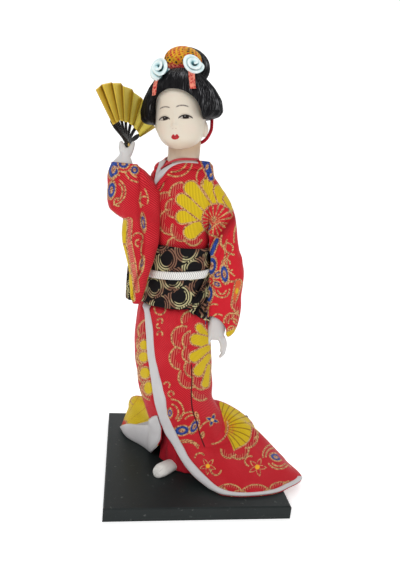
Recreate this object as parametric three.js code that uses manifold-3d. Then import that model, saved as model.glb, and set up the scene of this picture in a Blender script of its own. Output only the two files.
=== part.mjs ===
// A souvenir doll of a standing geisha in brocade on a square plinth. Millimetres, +Z up.
// The origin is the centre of the plinth's underside; the plinth's front faces -Y.
import * as THREE from 'three';
import { mergeVertices } from 'three/addons/utils/BufferGeometryUtils.js';
import Module from 'manifold-3d';

const wasm = await Module();
wasm.setup();

// Driving dimensions
const PLINTH = { side: 120, height: 9, bevel: 0.8 };
const SLACK = 0.1;                // how far a cut surface may move when its edges are tidied
const GAP = 0.3;                  // clearance between neighbouring pieces
const LOOSE = 0.6;                // clearance of the sleeves, bands and bow, whose surfaces may move by 0.4 of it
const FLOOR = PLINTH.height + GAP; // height at which cloth and foot rest
const BODY_TURN = 25;             // degrees the shoulders turn towards -X
const HEAD_TURN = 26;
const HEAD_LEAN = 5.8;            // degrees the crown tips towards -X
const WAIST_LOW = 124;
const WAIST_HIGH = 165;
const OBI_THICK = 1.6;
const BAND = 1.4;                 // height of the satin bands over the robe's surface
const CORD = { z: 144, width: 5, thick: 1.3 };
const HEAD = { x: -27, y: -2, z: 244 };
const WIG = { x: -26.6, y: 1, z: 248, tilt: 11 };
const FAN = { radius: 37.5, leafStart: 15.4, pleats: 9, from: -45, to: 68, thick: 0.5, fold: 1.1, pitch: 0.42 };
const ROSE_LEFT = { at: [-43.4, -8.4, 269.4], facing: [-0.62, -0.75, 0.2], radius: 6.2, depth: 4.6 };
const ROSE_RIGHT = { at: [-22, -11.4, 275], facing: [-0.05, -0.95, 0.35], radius: 6.8, depth: 4.6 };
const FAN_PIVOT = new THREE.Vector3(-58.8, 0, 224.3);
const FAN_UP = new THREE.Vector3(-0.162, 0.134, 0.978).normalize();
const FAN_SIDE = new THREE.Vector3(0.635, 0.772, 0).normalize();

const rad = THREE.MathUtils.degToRad;
const V = (x, y, z) => new THREE.Vector3(x, y, z);

// Smooth curve through [position, value...] rows; flat beyond both ends.
function track(rows) {
  const at = rows.map((row) => row[0]);
  const slope = (i, k) => {
    if (i === 0 || i === rows.length - 1) return 0;
    const before = (rows[i][k] - rows[i - 1][k]) / (at[i] - at[i - 1]);
    const after = (rows[i + 1][k] - rows[i][k]) / (at[i + 1] - at[i]);
    return before * after > 0 ? (2 * before * after) / (before + after) : 0;
  };
  return (t, k = 1) => {
    if (t <= at[0]) return rows[0][k];
    const last = rows.length - 1;
    if (t >= at[last]) return rows[last][k];
    let i = 0;
    while (t > at[i + 1]) i += 1;
    const width = at[i + 1] - at[i];
    const u = (t - at[i]) / width;
    const rise = rows[i + 1][k] - rows[i][k];
    const a = slope(i, k) * width;
    const b = slope(i + 1, k) * width;
    return rows[i][k] + u * a + u * u * (3 * rise - 2 * a - b) + u * u * u * (a + b - 2 * rise);
  };
}

// Closed body from a triangle list; faces are turned outward by the sign of its volume.
function closed(points, faces) {
  let volume = 0;
  const middle = points[0];
  for (const [a, b, c] of faces) {
    const [p, q, r] = [a, b, c].map((i) => points[i].clone().sub(middle));
    volume += p.dot(q.cross(r));
  }
  const index = [];
  for (const [a, b, c] of faces) index.push(a, ...(volume > 0 ? [b, c] : [c, b]));
  const geometry = new THREE.BufferGeometry();
  geometry.setAttribute('position', new THREE.Float32BufferAttribute(points.flatMap((p) => p.toArray()), 3));
  geometry.setIndex(index);
  return geometry;
}

// Closed body through a stack of rings, each with the same number of points, with capped ends.
function loft(rings) {
  const count = rings[0].length;
  const points = rings.flat();
  const faces = [];
  for (let i = 0; i < rings.length - 1; i += 1) {
    for (let j = 0; j < count; j += 1) {
      const k = (j + 1) % count;
      const [a, b, c, d] = [i * count + j, i * count + k, (i + 1) * count + j, (i + 1) * count + k];
      faces.push([a, b, d], [a, d, c]);
    }
  }
  for (const [ring, flip] of [[0, true], [rings.length - 1, false]]) {
    const centre = rings[ring].reduce((sum, p) => sum.add(p), V(0, 0, 0)).divideScalar(count);
    points.push(centre);
    for (let j = 0; j < count; j += 1) {
      const [a, b] = [ring * count + j, ring * count + ((j + 1) % count)];
      faces.push(flip ? [points.length - 1, b, a] : [points.length - 1, a, b]);
    }
  }
  return closed(points, faces);
}

// Closed sheet between two grids of points; a wrapped grid closes on itself along its rows.
function slab(outer, inner, wrap = false) {
  const rows = outer.length;
  const cols = outer[0].length;
  const points = [...outer.flat(), ...inner.flat()];
  const half = rows * cols;
  const faces = [];
  const quad = (a, b, c, d) => faces.push([a, b, c], [a, c, d]);
  for (let i = 0; i < rows - 1; i += 1) {
    for (let j = 0; j < (wrap ? cols : cols - 1); j += 1) {
      const k = (j + 1) % cols;
      const [a, b, c, d] = [i * cols + j, i * cols + k, (i + 1) * cols + k, (i + 1) * cols + j];
      quad(a, b, c, d);
      quad(half + a, half + d, half + c, half + b);
    }
  }
  for (let j = 0; j < (wrap ? cols : cols - 1); j += 1) {
    const k = (j + 1) % cols;
    quad(k, j, half + j, half + k);
    const low = (rows - 1) * cols;
    quad(low + j, low + k, half + low + k, half + low + j);
  }
  if (!wrap) {
    for (let i = 0; i < rows - 1; i += 1) {
      const [a, b] = [i * cols, (i + 1) * cols];
      quad(a, b, half + b, half + a);
      const [c, d] = [a + cols - 1, b + cols - 1];
      quad(d, c, half + c, half + d);
    }
  }
  return closed(points, faces);
}

// Superellipse ring: half widths a and b, corner power n, turned and placed by the caller's map.
function ovalRing(count, a, b, n, place) {
  const ring = [];
  for (let j = 0; j < count; j += 1) {
    const t = (j / count) * 2 * Math.PI;
    const [c, s] = [Math.cos(t), Math.sin(t)];
    ring.push(place(Math.sign(c) * a * Math.abs(c) ** (2 / n), Math.sign(s) * b * Math.abs(s) ** (2 / n)));
  }
  return ring;
}

// Tapering round rod along a path of [point, radius] rows.
function rod(path, sides = 10) {
  const curve = new THREE.CatmullRomCurve3(path.map(([p]) => p));
  const steps = (path.length - 1) * 2;
  const frames = curve.computeFrenetFrames(steps, false);
  const rings = [];
  for (let i = 0; i <= steps; i += 1) {
    const at = (i / steps) * (path.length - 1);
    const low = Math.min(Math.floor(at), path.length - 2);
    const radius = THREE.MathUtils.lerp(path[low][1], path[low + 1][1], at - low);
    const centre = curve.getPoint(i / steps);
    rings.push(ovalRing(sides, radius, radius, 2, (u, v) => centre.clone()
      .addScaledVector(frames.normals[i], u)
      .addScaledVector(frames.binormals[i], v)));
  }
  return loft(rings);
}

function solid(geometry) {
  const bare = geometry.clone();
  bare.deleteAttribute('normal');
  bare.deleteAttribute('uv');
  const merged = mergeVertices(bare, 1e-4);
  return new wasm.Manifold(new wasm.Mesh({
    numProp: 3,
    vertProperties: new Float32Array(merged.attributes.position.array),
    triVerts: new Uint32Array(merged.index.array),
  }));
}

function shape(manifold) {
  const result = manifold.getMesh();
  const geometry = new THREE.BufferGeometry();
  geometry.setAttribute('position', new THREE.BufferAttribute(new Float32Array(result.vertProperties), 3));
  geometry.setIndex(new THREE.BufferAttribute(new Uint32Array(result.triVerts), 1));
  return geometry;
}

// The largest body of a cut, so that no loose sliver is left behind, with its needless edges removed.
function main(manifold, slack = SLACK) {
  const bodies = manifold.simplify(slack).decompose();
  bodies.sort((p, q) => q.volume() - p.volume());
  return bodies[0];
}

const carve = (geometry, others) => others.reduce((left, other) => left.subtract(solid(other)), solid(geometry));
const cut = (geometry, ...others) => shape(main(carve(geometry, others)));
const cutLoose = (geometry, ...others) => shape(main(carve(geometry, others), LOOSE * 0.4));

const join = (...geometries) => shape(main(geometries.map(solid).reduce((sum, next) => sum.add(next))));

// The robe: one surface in polar form about a leaning axis.
// Rows of height, axis x, axis y, half width across the shoulders, half depth.
const robeForm = track([
  [FLOOR, -2, 0, 26, 23],
  [28, -1.5, 0, 27.6, 24],
  [36, -4, 0, 28, 24],
  [47, -8.2, 0, 27.2, 23.4],
  [60, -13.6, 0, 25.8, 22.8],
  [76, -16.2, 1, 27, 23],
  [93, -18.3, 1.5, 27, 22.5],
  [110, -19.8, 2, 25.5, 21],
  [121, -20.6, 2, 24, 19.6],
  [WAIST_LOW, -21, 2, 20.8, 16.4],
  [WAIST_HIGH, -21, 2, 20.2, 16],
  [178, -21, 1.5, 20, 16.6],
  [190, -21.5, 1.5, 20.8, 17],
  [200, -22, 1.6, 21.6, 17],
  [208, -22.4, 1.8, 20.6, 15],
  [214, -22.8, 2.4, 16, 12],
  [218, -23, 3, 11, 9.6],
]);
// Rows of plan angle, hem radius, height where the flare starts, power of the flare.
const HEM_FROM = -228;
const HEM_TO = HEM_FROM + 360;
const hemForm = track([
  [-228, 60, 40, 0.7],
  [-217, 60, 46, 0.4],
  [-213, 56, 47, 0.32],
  [-207, 48, 47, 0.3],
  [-198, 35, 47, 0.4],
  [-190, 30, 46, 0.6],
  [-180, 27, 46, 0.8],
  [-150, 29, 40, 1],
  [-120, 33, 40, 1],
  [-100, 37, 40, 1.1],
  [-83, 42, 40, 1.1],
  [-69, 52, 38, 1.1],
  [-54, 62, 34, 1],
  [-34, 77, 32, 0.9],
  [-21, 87, 34, 0.85],
  [-6, 78, 48, 0.9],
  [10, 68, 54, 0.6],
  [30, 60, 50, 0.75],
  [60, 54, 40, 1],
  [95, 50, 36, 1],
  [120, 54, 36, 0.8],
  [132, 60, 40, 0.7],
]);
// Depth of the loose folds, and of the crease where the tube of the skirt meets the train.
const foldDepth = track([[-220, 0.8], [-190, 0], [-70, 0], [-12, 0.8], [4, 2], [30, 2.4], [60, 2.6], [120, 2]]);
const creaseDepth = track([[-85, 0], [-62, 2.4], [-10, 2.4], [6, 0]]);

function robeRadius(angle, z, grow = 0) {
  let degrees = THREE.MathUtils.radToDeg(angle);
  while (degrees > HEM_TO) degrees -= 360;
  while (degrees < HEM_FROM) degrees += 360;
  const across = angle + rad(BODY_TURN);
  const [a, b] = [robeForm(z, 3), robeForm(z, 4)];
  const oval = 1 / Math.hypot(Math.cos(across) / a, Math.sin(across) / b);
  const start = hemForm(degrees, 2);
  const share = THREE.MathUtils.clamp((start - z) / (start - FLOOR), 0, 1);
  const low = 1 / Math.hypot(Math.cos(across) / robeForm(FLOOR, 3), Math.sin(across) / robeForm(FLOOR, 4));
  const flare = (hemForm(degrees, 1) - low) * share ** hemForm(degrees, 3);
  const folds = foldDepth(degrees) * share ** 0.5 * Math.cos(angle * 18 + 0.05 * z);
  const crease = creaseDepth(degrees) * Math.exp(-(((z - 29) / 2.6) ** 2));
  return Math.max(oval + flare + folds - crease, 8) + grow;
}

function robePoint(angle, z, grow = 0) {
  const r = robeRadius(angle, z, grow);
  return V(robeForm(z, 1) + r * Math.cos(angle), robeForm(z, 2) + r * Math.sin(angle), z);
}

const ROBE_LEVELS = [FLOOR, 14, 19.5, 25, 29, 33, 39, 46, 54, 64, 78, 96, 112, 120,
  123, WAIST_LOW + 0.5, WAIST_HIGH, 180, 196, 205, 211, 215, 218];
const ROBE_ANGLES = [];
for (let degrees = HEM_FROM; degrees < HEM_TO;) {
  ROBE_ANGLES.push(rad(degrees));
  degrees += degrees < -190 ? 5 : degrees < -20 ? 12 : 10;
}

function robeBody(grow = 0, levels = ROBE_LEVELS) {
  const ring = (z, rise) => ROBE_ANGLES.map((angle) => robePoint(angle, z, grow).add(V(0, 0, rise)));
  const rings = levels.map((z) => ring(z, 0));
  if (grow > 0) rings.unshift(ring(levels[0], -grow));
  if (grow > 0) rings.push(ring(levels[levels.length - 1], grow));
  return loft(rings);
}

// Where the robe falls open over the foot: from the edge of the front panel round to the left fold.
const panelEdge = track([[9, -80], [13.5, -88], [20, -100], [28.7, -116], [36, -124], [45, -132], [50, -139]]);
const foldEdge = track([[9, -190], [14, -183], [24, -173], [33, -165], [41, -157], [47, -149], [50, -143]]);
function robeOpening() {
  const plan = (angle, z, share) => {
    const p = robePoint(rad(angle), z, 0);
    const [x, y] = [robeForm(z, 1), robeForm(z, 2)];
    return V(x + (p.x - x) * share, y + (p.y - y) * share, z);
  };
  return loft([FLOOR - 1, 14, 20, 26, 32, 38, 44, 50].map((z) => {
    const [right, left] = [panelEdge(z), foldEdge(z)];
    const middle = (right + left) / 2;
    return [plan(right, z, 0.62), plan(middle, z, 0.55), plan(left, z, 0.62), plan(left, z, 1.6),
      plan(middle, z, 1.9), plan(right, z, 1.6)];
  }));
}

// A strip that lies on the robe, from rows of the plan angle and height of its two edges.
function robeStrip(rows, thick, steps = 2) {
  const grid = (grow) => rows.map(([angleA, zA, angleB, zB]) => {
    const row = [];
    for (let j = 0; j <= steps; j += 1) {
      const u = j / steps;
      const p = robePoint(rad(THREE.MathUtils.lerp(angleA, angleB, u)), THREE.MathUtils.lerp(zA, zB, u), grow);
      row.push(p.add(V(0, 0, 0.8 * grow)));
    }
    return row;
  });
  return slab(grid(thick), grid(-GAP));
}

// White satin edging of the front panel, down from the sash and along the hem to the tip of the train.
const HEM = FLOOR + 0.2;
const frontBand = [
  [-174, 120, -156, 120], [-160, 111, -143, 112], [-149, 99, -132, 101], [-142, 77, -122, 79],
  [-138, 62, -116, 65], [-131.4, 45, -117, 49], [-124, 36, -111.5, 39.5], [-116, 28.7, -104.5, 31],
  [-100, 20, -92, 23.4], [-88, 13.6, -79, 17], [-79, HEM, -71, 12], [-66, HEM, -64, 11.6],
  [-50, HEM, -50, 11.4], [-36, HEM, -36, 11.2], [-22, HEM, -22, 11],
];
// White satin edging of the other panel, turned out over the left fold.
const foldBand = [
  [-212, HEM, -212, 12], [-207, HEM, -207, 17.7], [-201, HEM, -201, 25.7], [-195, HEM, -196, 32],
  [-190, HEM, -189, 36], [-182.4, 14.6, -181, 38], [-173, 24.4, -173, 39.5], [-165, 33.6, -165, 41.5],
  [-158, 41, -158.4, 43.5],
];

// Ring around the waist: the sash and its cord.
function waistRing(low, high, lift, thick, bulge = 0, steps = 2, count = 32) {
  const ring = (z, grow) => {
    const row = [];
    for (let j = 0; j < count; j += 1) row.push(robePoint((j / count) * 2 * Math.PI, z, grow));
    return row;
  };
  const outer = [];
  const inner = [];
  for (let i = 0; i <= steps; i += 1) {
    const u = i / steps;
    const z = THREE.MathUtils.lerp(low, high, u);
    outer.push(ring(z, lift + thick + bulge * Math.sin(Math.PI * u)));
    inner.push(ring(z, lift));
  }
  return slab(outer, inner, true);
}

// Sleeves: stacks of flattened ovals given by their left and right limits, middle and half depth.
const raisedSleeve = [
  [126, -48.4, -44.2, -13, 2],
  [131, -49.3, -42.8, -13, 4],
  [142, -51.5, -40.3, -12.5, 6],
  [150, -53.7, -38.4, -12, 6.8],
  [164, -56.2, -36.2, -11, 7.6],
  [174, -59, -35.8, -9, 8.6],
  [180, -61, -35.5, -7.5, 9.6],
  [185, -66.4, -35.2, -5, 11],
  [190, -68.3, -34.8, -3, 12],
  [197, -68.4, -35, -1, 12.5],
  [204, -68.2, -39.5, 0, 12],
  [209, -67.9, -46.5, -2, 10],
  [213.6, -67.4, -52, -5, 7],
];
const hangingSleeve = [
  [106, 16, 18.6, -9, 3],
  [109.4, 13, 21.8, -8.5, 5],
  [113.5, 8, 23.4, -7.5, 7.5],
  [118.5, 2, 24.2, -6.5, 9],
  [128, 0.8, 24.7, -6, 9.6],
  [150, 0.6, 23.8, -6, 9.6],
  [158, 0.4, 21.6, -6, 9.4],
  [166, 0, 17, -5.5, 9.4],
  [177, -2.5, 15.2, -5, 9.6],
  [188, -6, 12.6, -4.5, 10.4],
  [196, -9, 8.8, -4, 11],
  [204, -12, 3.4, -3.5, 10.4],
  [211, -14, -2.6, -3, 8.6],
  [217, -15, -3.8, -2.5, 6],
  [219.6, -14.4, -6, -2.5, 4],
];

function sleeve(rows, grow = 0, count = 16, power = 2.4) {
  const form = track(rows);
  const levels = [];
  rows.forEach(([z], i) => {
    if (i > 0 && z - rows[i - 1][0] > 9) levels.push((z + rows[i - 1][0]) / 2);
    levels.push(z);
  });
  return loft(levels.map((z, i) => {
    const lift = i === 0 ? -grow : i === levels.length - 1 ? grow : 0;
    const [left, right, mid, depth] = [1, 2, 3, 4].map((k) => form(z, k));
    return ovalRing(count, (right - left) / 2 + grow, depth + grow, power,
      (x, y) => V((left + right) / 2 + x, mid + y, z + lift));
  }));
}

// Head, with the neck, turned about its own upright axis. Rows of height, half width, half depth, forward shift.
const headForm = [
  [225, 3.6, 3.6, 10.4],
  [226.6, 7, 7, 8],
  [230, 11, 11, 5],
  [235, 14, 13.8, 2.4],
  [240, 15.4, 15.4, 0.9],
  [246, 15.4, 16.4, 0.2],
  [253, 15.4, 16.6, 0],
  [260, 13.6, 14.8, 0],
  [265, 10.2, 11.4, 0],
  [268.4, 4.6, 5.4, 0],
];

function headPlace(side, forward, z) {
  const turn = rad(HEAD_TURN);
  const lean = Math.tan(rad(HEAD_LEAN)) * (HEAD.z - z);
  return V(
    HEAD.x + side * Math.cos(turn) - forward * Math.sin(turn) + lean,
    HEAD.y - side * Math.sin(turn) - forward * Math.cos(turn),
    z,
  );
}

// Low relief of the face: nose, lips and the shallow hollows of the eyes.
function faceRelief(side, z) {
  const bump = (s, h, sw, sh) => Math.exp(-(((side - s) / sw) ** 2) - ((z - h) / sh) ** 2);
  return 1.9 * bump(0, 238, 1.7, 2.4) + 0.8 * bump(0, 243, 1.3, 4) + 0.7 * bump(0, 232.4, 2.6, 1.3)
    - 0.8 * bump(-6, 246, 3.4, 2.4) - 0.8 * bump(6, 246, 3.4, 2.4);
}

function skull(grow = 0, count = 22) {
  const form = track(headForm);
  const levels = [225, 226.6, 229.4, 232.4, 235.4, 238, 241, 245.6, 252, 259, 265, 268.4];
  return loft(levels.map((z, i) => {
    const lift = i === 0 ? -grow : i === levels.length - 1 ? grow : 0;
    const [w, d, f] = [1, 2, 3].map((k) => form(z, k));
    return ovalRing(count, w + grow, d + grow, 2.15, (x, y) => {
      const relief = y < 0 ? faceRelief(x, z) : 0;
      return headPlace(x, f - y + relief, z + lift);
    });
  }));
}

function neck(grow = 0) {
  const rows = [[213, 10.8, -23, 2.4], [222, 10.2, -23.4, 1.8], [229, 10, -24, 1.4], [236, 10, -25, 1]];
  return loft(rows.map(([z, r, x, y], i) => {
    const lift = i === 0 ? -grow : 0;
    return ovalRing(18, r + grow, r + grow, 2, (u, v) => V(x + u, y + v, z + lift));
  }));
}

// The wig: a full oval mass, open over the face, resting on the head.
const wigForm = track([
  [238, 20, 17, 2.3],
  [239.4, 24, 21, 2.3],
  [242, 25.6, 23.4, 2.3],
  [248, 25.4, 24, 2.3],
  [256, 22.6, 22.6, 2.2],
  [262, 18.6, 20, 2.1],
  [267, 14.4, 16.6, 2],
  [270.6, 10, 12, 2],
  [272.6, 4.6, 6, 2],
]);

function wigPoint(angle, z, grow = 0, lift = 0) {
  const [a, b, n] = [wigForm(z, 1) + grow, wigForm(z, 2) + grow, wigForm(z, 3)];
  const [c, s] = [Math.cos(angle), Math.sin(angle)];
  const r = (Math.abs(c / a) ** n + Math.abs(s / b) ** n) ** (-1 / n);
  const tilt = Math.tan(rad(WIG.tilt));
  return V(WIG.x + r * c - tilt * (z - WIG.z), WIG.y + r * s, z + tilt * r * c + lift);
}

function wigMass(grow = 0, count = 24) {
  const levels = [238, 239.4, 242, 248, 256, 263, 268.6, 272.6];
  return loft(levels.map((z, i) => {
    const lift = i === 0 ? -grow : i === levels.length - 1 ? grow : 0;
    const ring = [];
    for (let j = 0; j < count; j += 1) ring.push(wigPoint((j / count) * 2 * Math.PI, z, grow, lift));
    return ring;
  }));
}

// Arch-shaped tunnel in front of the face, along the face's direction.
function faceOpening() {
  const outline = [];
  for (let i = 0; i <= 12; i += 1) {
    const t = Math.PI * (i / 12);
    outline.push([16.4 * Math.cos(t), 246 + 11.6 * Math.sin(t)]);
  }
  outline.push([-17, 228], [17, 228]);
  return loft([2, 60].map((forward) => outline.map(([side, z]) => headPlace(side * (forward > 30 ? 1.25 : 1), forward, z))));
}

// Rounded lump: an ellipsoid of rings about a centre, with its pole along the given direction.
function lump(centre, radii, pole = V(0, 0, 1), count = 16, levels = 7) {
  const turn = new THREE.Quaternion().setFromUnitVectors(V(0, 0, 1), pole.clone().normalize());
  const rings = [];
  for (let i = 1; i < levels; i += 1) {
    const t = -Math.PI / 2 + (Math.PI * i) / levels;
    rings.push(ovalRing(count, radii[0] * Math.cos(t), radii[1] * Math.cos(t), 2,
      (x, y) => V(x, y, radii[2] * Math.sin(t)).applyQuaternion(turn).add(centre)));
  }
  return loft(rings);
}

// Ribbon rose: a rolled band seen from its open end, with a hole in the middle.
function rosette(rose, grow = 0) {
  const [radius, depth] = [rose.radius + grow, rose.depth + grow];
  const profile = [];
  const rows = [[0.22, 0.1], [0.32, 0.55], [0.55, 0.78], [0.8, 0.62], [0.97, 0.2], [1, -0.3], [0.7, -0.6], [0.3, -0.6]];
  rows.reverse().forEach(([r, h]) => profile.push(new THREE.Vector2(r * radius, h * depth)));
  profile.push(profile[0].clone());
  const geometry = new THREE.LatheGeometry(profile, 12);
  geometry.applyQuaternion(new THREE.Quaternion().setFromUnitVectors(V(0, 1, 0), V(...rose.facing).normalize()));
  geometry.translate(...rose.at);
  return geometry;
}

// The fan: a point by its angle in the fan's plane, radius and height over the plane.
const FAN_NORMAL = new THREE.Vector3().crossVectors(FAN_UP, FAN_SIDE).normalize();
function fanPoint(degrees, radius, height) {
  const t = rad(degrees);
  return FAN_PIVOT.clone()
    .addScaledVector(FAN_UP, radius * Math.cos(t))
    .addScaledVector(FAN_SIDE, radius * Math.sin(t))
    .addScaledVector(FAN_NORMAL, height);
}
const fanRise = (degrees) => {
  const u = (degrees - FAN.from) / (FAN.to - FAN.from);
  return (u - 0.5) * FAN.pitch * (FAN.pleats + 1);
};

function fanLeaf() {
  const grid = (side) => {
    const rows = [];
    for (let i = 0; i <= 2 * FAN.pleats; i += 1) {
      const degrees = THREE.MathUtils.lerp(FAN.from, FAN.to, i / (2 * FAN.pleats));
      const fold = i % 2 === 0 ? -1 : 1;
      const row = [];
      for (let k = 0; k <= 3; k += 1) {
        const edge = FAN.radius - (i % 2 === 0 ? 0 : 1.1);
        const radius = THREE.MathUtils.lerp(FAN.leafStart, edge, k / 3);
        const lift = (fold * FAN.fold * radius) / FAN.radius;
        row.push(fanPoint(degrees, radius, fanRise(degrees) + lift + (side * FAN.thick) / 2));
      }
      rows.push(row);
    }
    return rows;
  };
  return slab(grid(1), grid(-1));
}

function fanRib(index) {
  const degrees = THREE.MathUtils.lerp(FAN.from, FAN.to, (index + 0.5) / FAN.pleats);
  const guard = index === 0;
  const width = guard ? 2.6 : 1.9;
  const outline = new THREE.Shape();
  outline.moveTo(-width * 0.55, -2.6);
  outline.lineTo(width * 0.55, -2.6);
  outline.lineTo(width * 0.7, 6);
  outline.lineTo(width * 0.62, FAN.leafStart - 0.5);
  outline.lineTo(-width * 0.62, FAN.leafStart - 0.5);
  outline.lineTo(-width * 0.7, 6);
  outline.closePath();
  const hole = new THREE.Path();
  hole.absarc(0, 0, 1, 0, 2 * Math.PI, true);
  outline.holes.push(hole);
  const geometry = new THREE.ExtrudeGeometry(outline, { depth: 0.3, bevelEnabled: false, curveSegments: 3 });
  const t = rad(degrees);
  const along = FAN_UP.clone().multiplyScalar(Math.cos(t)).addScaledVector(FAN_SIDE, Math.sin(t));
  const across = new THREE.Vector3().crossVectors(along, FAN_NORMAL);
  const frame = new THREE.Matrix4().makeBasis(across, along, FAN_NORMAL);
  geometry.applyMatrix4(frame);
  const place = fanPoint(0, 0, fanRise(degrees) - 0.15);
  geometry.translate(place.x, place.y, place.z);
  return geometry;
}

function fanPivot() {
  const reach = (FAN.pitch * FAN.pleats) / 2 + 0.35;
  const profile = [[0, -reach - 0.7], [1.5, -reach - 0.7], [1.7, -reach], [0.65, -reach], [0.65, reach],
    [1.7, reach], [1.5, reach + 0.7], [0, reach + 0.7]].map(([r, h]) => new THREE.Vector2(r, h));
  const geometry = new THREE.LatheGeometry(profile, 12);
  geometry.applyQuaternion(new THREE.Quaternion().setFromUnitVectors(V(0, 1, 0), FAN_NORMAL));
  geometry.translate(FAN_PIVOT.x, FAN_PIVOT.y, FAN_PIVOT.z);
  return geometry;
}

function fanClearance() {
  const reach = (FAN.pitch * FAN.pleats) / 2 + 1.5;
  const geometry = new THREE.CylinderGeometry(5.2, 5.2, 2 * reach, 16);
  geometry.applyQuaternion(new THREE.Quaternion().setFromUnitVectors(V(0, 1, 0), FAN_NORMAL));
  const middle = fanPoint(29, 1.6, 0);
  geometry.translate(middle.x, middle.y, middle.z);
  return geometry;
}

// Hands
function raisedHand(grow = 0) {
  const rows = [
    [209, -59.6, -5.4, 7.6, 5.4],
    [213.4, -59.7, -5.2, 6.8, 5],
    [216, -60, -4.6, 4.4, 3.6],
    [219, -60.2, -3.6, 3.1, 2.9],
    [222, -59.8, -2.6, 4.2, 3],
    [226, -59, -1.8, 5, 2.8],
    [228.6, -58.6, -1.4, 4.2, 2.2],
  ];
  return loft(rows.map(([z, x, y, a, b], i) => {
    const lift = i === 0 ? -grow : 0;
    return ovalRing(14, a + grow, b + grow, 2.1, (u, v) => V(x + u, y + v, z + lift));
  }));
}

function hangingHand(grow = 0) {
  const palm = loft([
    [125, 8.8, -8, 5, 4.4],
    [118, 9, -9, 5.4, 4],
    [112.5, 9.6, -9.6, 5.6, 3.2],
    [108, 9.8, -10, 5.4, 2.6],
    [105, 10, -10.2, 4.8, 2.2],
  ].map(([z, x, y, a, b], i) => {
    const lift = i === 0 ? grow : 0;
    return ovalRing(14, a + grow, b + grow, 2.2, (u, v) => V(x + u, y + v, z + lift));
  }));
  const fingers = rod([
    [V(12.8, -10, 108), 2.2 + grow],
    [V(14.6, -10.6, 102.5), 1.9 + grow],
    [V(14.4, -11, 96.5), 1.6 + grow],
    [V(11, -11.6, 90), 1 + grow],
  ], 8);
  const thumb = rod([
    [V(5.8, -10.8, 108.5), 1.6 + grow],
    [V(5.2, -11.8, 102.5), 1.2 + grow],
    [V(5, -12.4, 97), 0.7 + grow],
  ], 8);
  return join(palm, fingers, thumb);
}

// Foot in its split-toe sock, pointing to the front left.
function foot(grow = 0) {
  const rows = [[-1, 4, 8.4], [5, 4.8, 10], [12, 5.4, 10], [18, 5.6, 9], [22, 4.6, 7], [24.2, 2.2, 4]];
  const heel = V(-8.6, -10.6, FLOOR);
  const along = V(-0.76, -0.65, 0);
  const across = V(0.65, -0.76, 0);
  return loft(rows.map(([d, half, tall]) => {
    const ring = [];
    for (let j = 0; j < 12; j += 1) {
      const t = (j / 12) * 2 * Math.PI;
      const up = Math.max(Math.sin(t), -0.72) + 0.72;
      ring.push(heel.clone().addScaledVector(along, d).addScaledVector(across, (half + grow) * Math.cos(t))
        .add(V(0, 0, (up / 1.72) * (tall + grow) - (Math.sin(t) < -0.7 ? grow : 0))));
    }
    return ring;
  }));
}

// Under-robe: the red inner skirt in the opening, spreading to the right over the foot.
function underRobe(grow = 0) {
  const rows = [
    [FLOOR + 1.2, -5, -8, 17, 9.3],
    [15, -6.5, -7.6, 15, 9.4],
    [22, -8.5, -7, 13.6, 9.4],
    [30, -10.5, -6.4, 12.6, 9.6],
    [42, -13, -5, 12, 9.6],
  ];
  const turn = rad(-51);
  return loft(rows.map(([z, x, y, a, b], i) => {
    const lift = i === 0 ? -grow : i === rows.length - 1 ? grow : 0;
    const ring = [];
    for (let j = 0; j < 24; j += 1) {
      const t = (j / 24) * 2 * Math.PI;
      const wave = 1 + 0.05 * Math.cos(6 * t + 0.1 * z);
      const [u, v] = [(a * wave + grow) * Math.cos(t), (b * wave + grow) * Math.sin(t)];
      ring.push(V(x + u * Math.cos(turn) - v * Math.sin(turn), y + u * Math.sin(turn) + v * Math.cos(turn), z + lift));
    }
    return ring;
  }));
}

// Bow at the back of the sash: two loops, a knot and two tails.
function bow() {
  const turn = rad(18);
  const place = (side, back, z) => V(-15.5 + side * Math.cos(turn) + back * Math.sin(turn),
    22 - side * Math.sin(turn) + back * Math.cos(turn), z);
  const rows = [[0, 10, 4, 144], [8, 14.6, 5.2, 142.6], [20, 19, 6.6, 139.4], [31, 19.4, 6.4, 135], [40, 13, 3.2, 128.6]];
  const wing = (sign) => loft(rows.map(([side, tall, thick, mid]) => ovalRing(16, thick, tall, 3,
    (x, y) => place(sign * side, x + 4, mid + y))));
  const knot = loft([[-6.4, 6.2], [-3, 7.2], [3, 7.2], [6.4, 6.2]]
    .map(([side, thick]) => ovalRing(12, thick, 12, 3, (x, y) => place(side, x + 3.6, 144 + y))));
  return join(wing(1), wing(-1), knot);
}

// Gathered end of the sash at the right hip: pleats spreading downward over sash and cord.
function sashTail(grow = 0) {
  const rows = [[155, -27, -16, 0], [145, -39, -13, 0.4], [132, -55, -9, 0.9], [118, -66, -7, 1.2]];
  const columns = 12;
  const grid = (shift) => rows.map(([z, left, right, depth], i) => {
    const row = [];
    for (let j = 0; j <= columns; j += 1) {
      const u = j / columns;
      const angle = rad(THREE.MathUtils.lerp(left - grow, right + grow, u));
      const pleat = (j % 2 === 0 ? depth : 0) + shift;
      const drop = i === rows.length - 1 ? THREE.MathUtils.lerp(6, -8, u) : 0;
      const sash = robeRadius(angle, WAIST_HIGH) + OBI_THICK + CORD.thick + 1.6 + pleat;
      const skirt = robeRadius(angle, z + drop) + 0.8 + pleat;
      const r = Math.max(sash, skirt);
      const rim = i === 0 ? grow : i === rows.length - 1 ? -grow : 0;
      row.push(V(robeForm(z, 1) + r * Math.cos(angle), robeForm(z, 2) + r * Math.sin(angle), z + drop + rim));
    }
    return row;
  });
  return slab(grid(1 + grow), grid(-grow));
}

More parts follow.
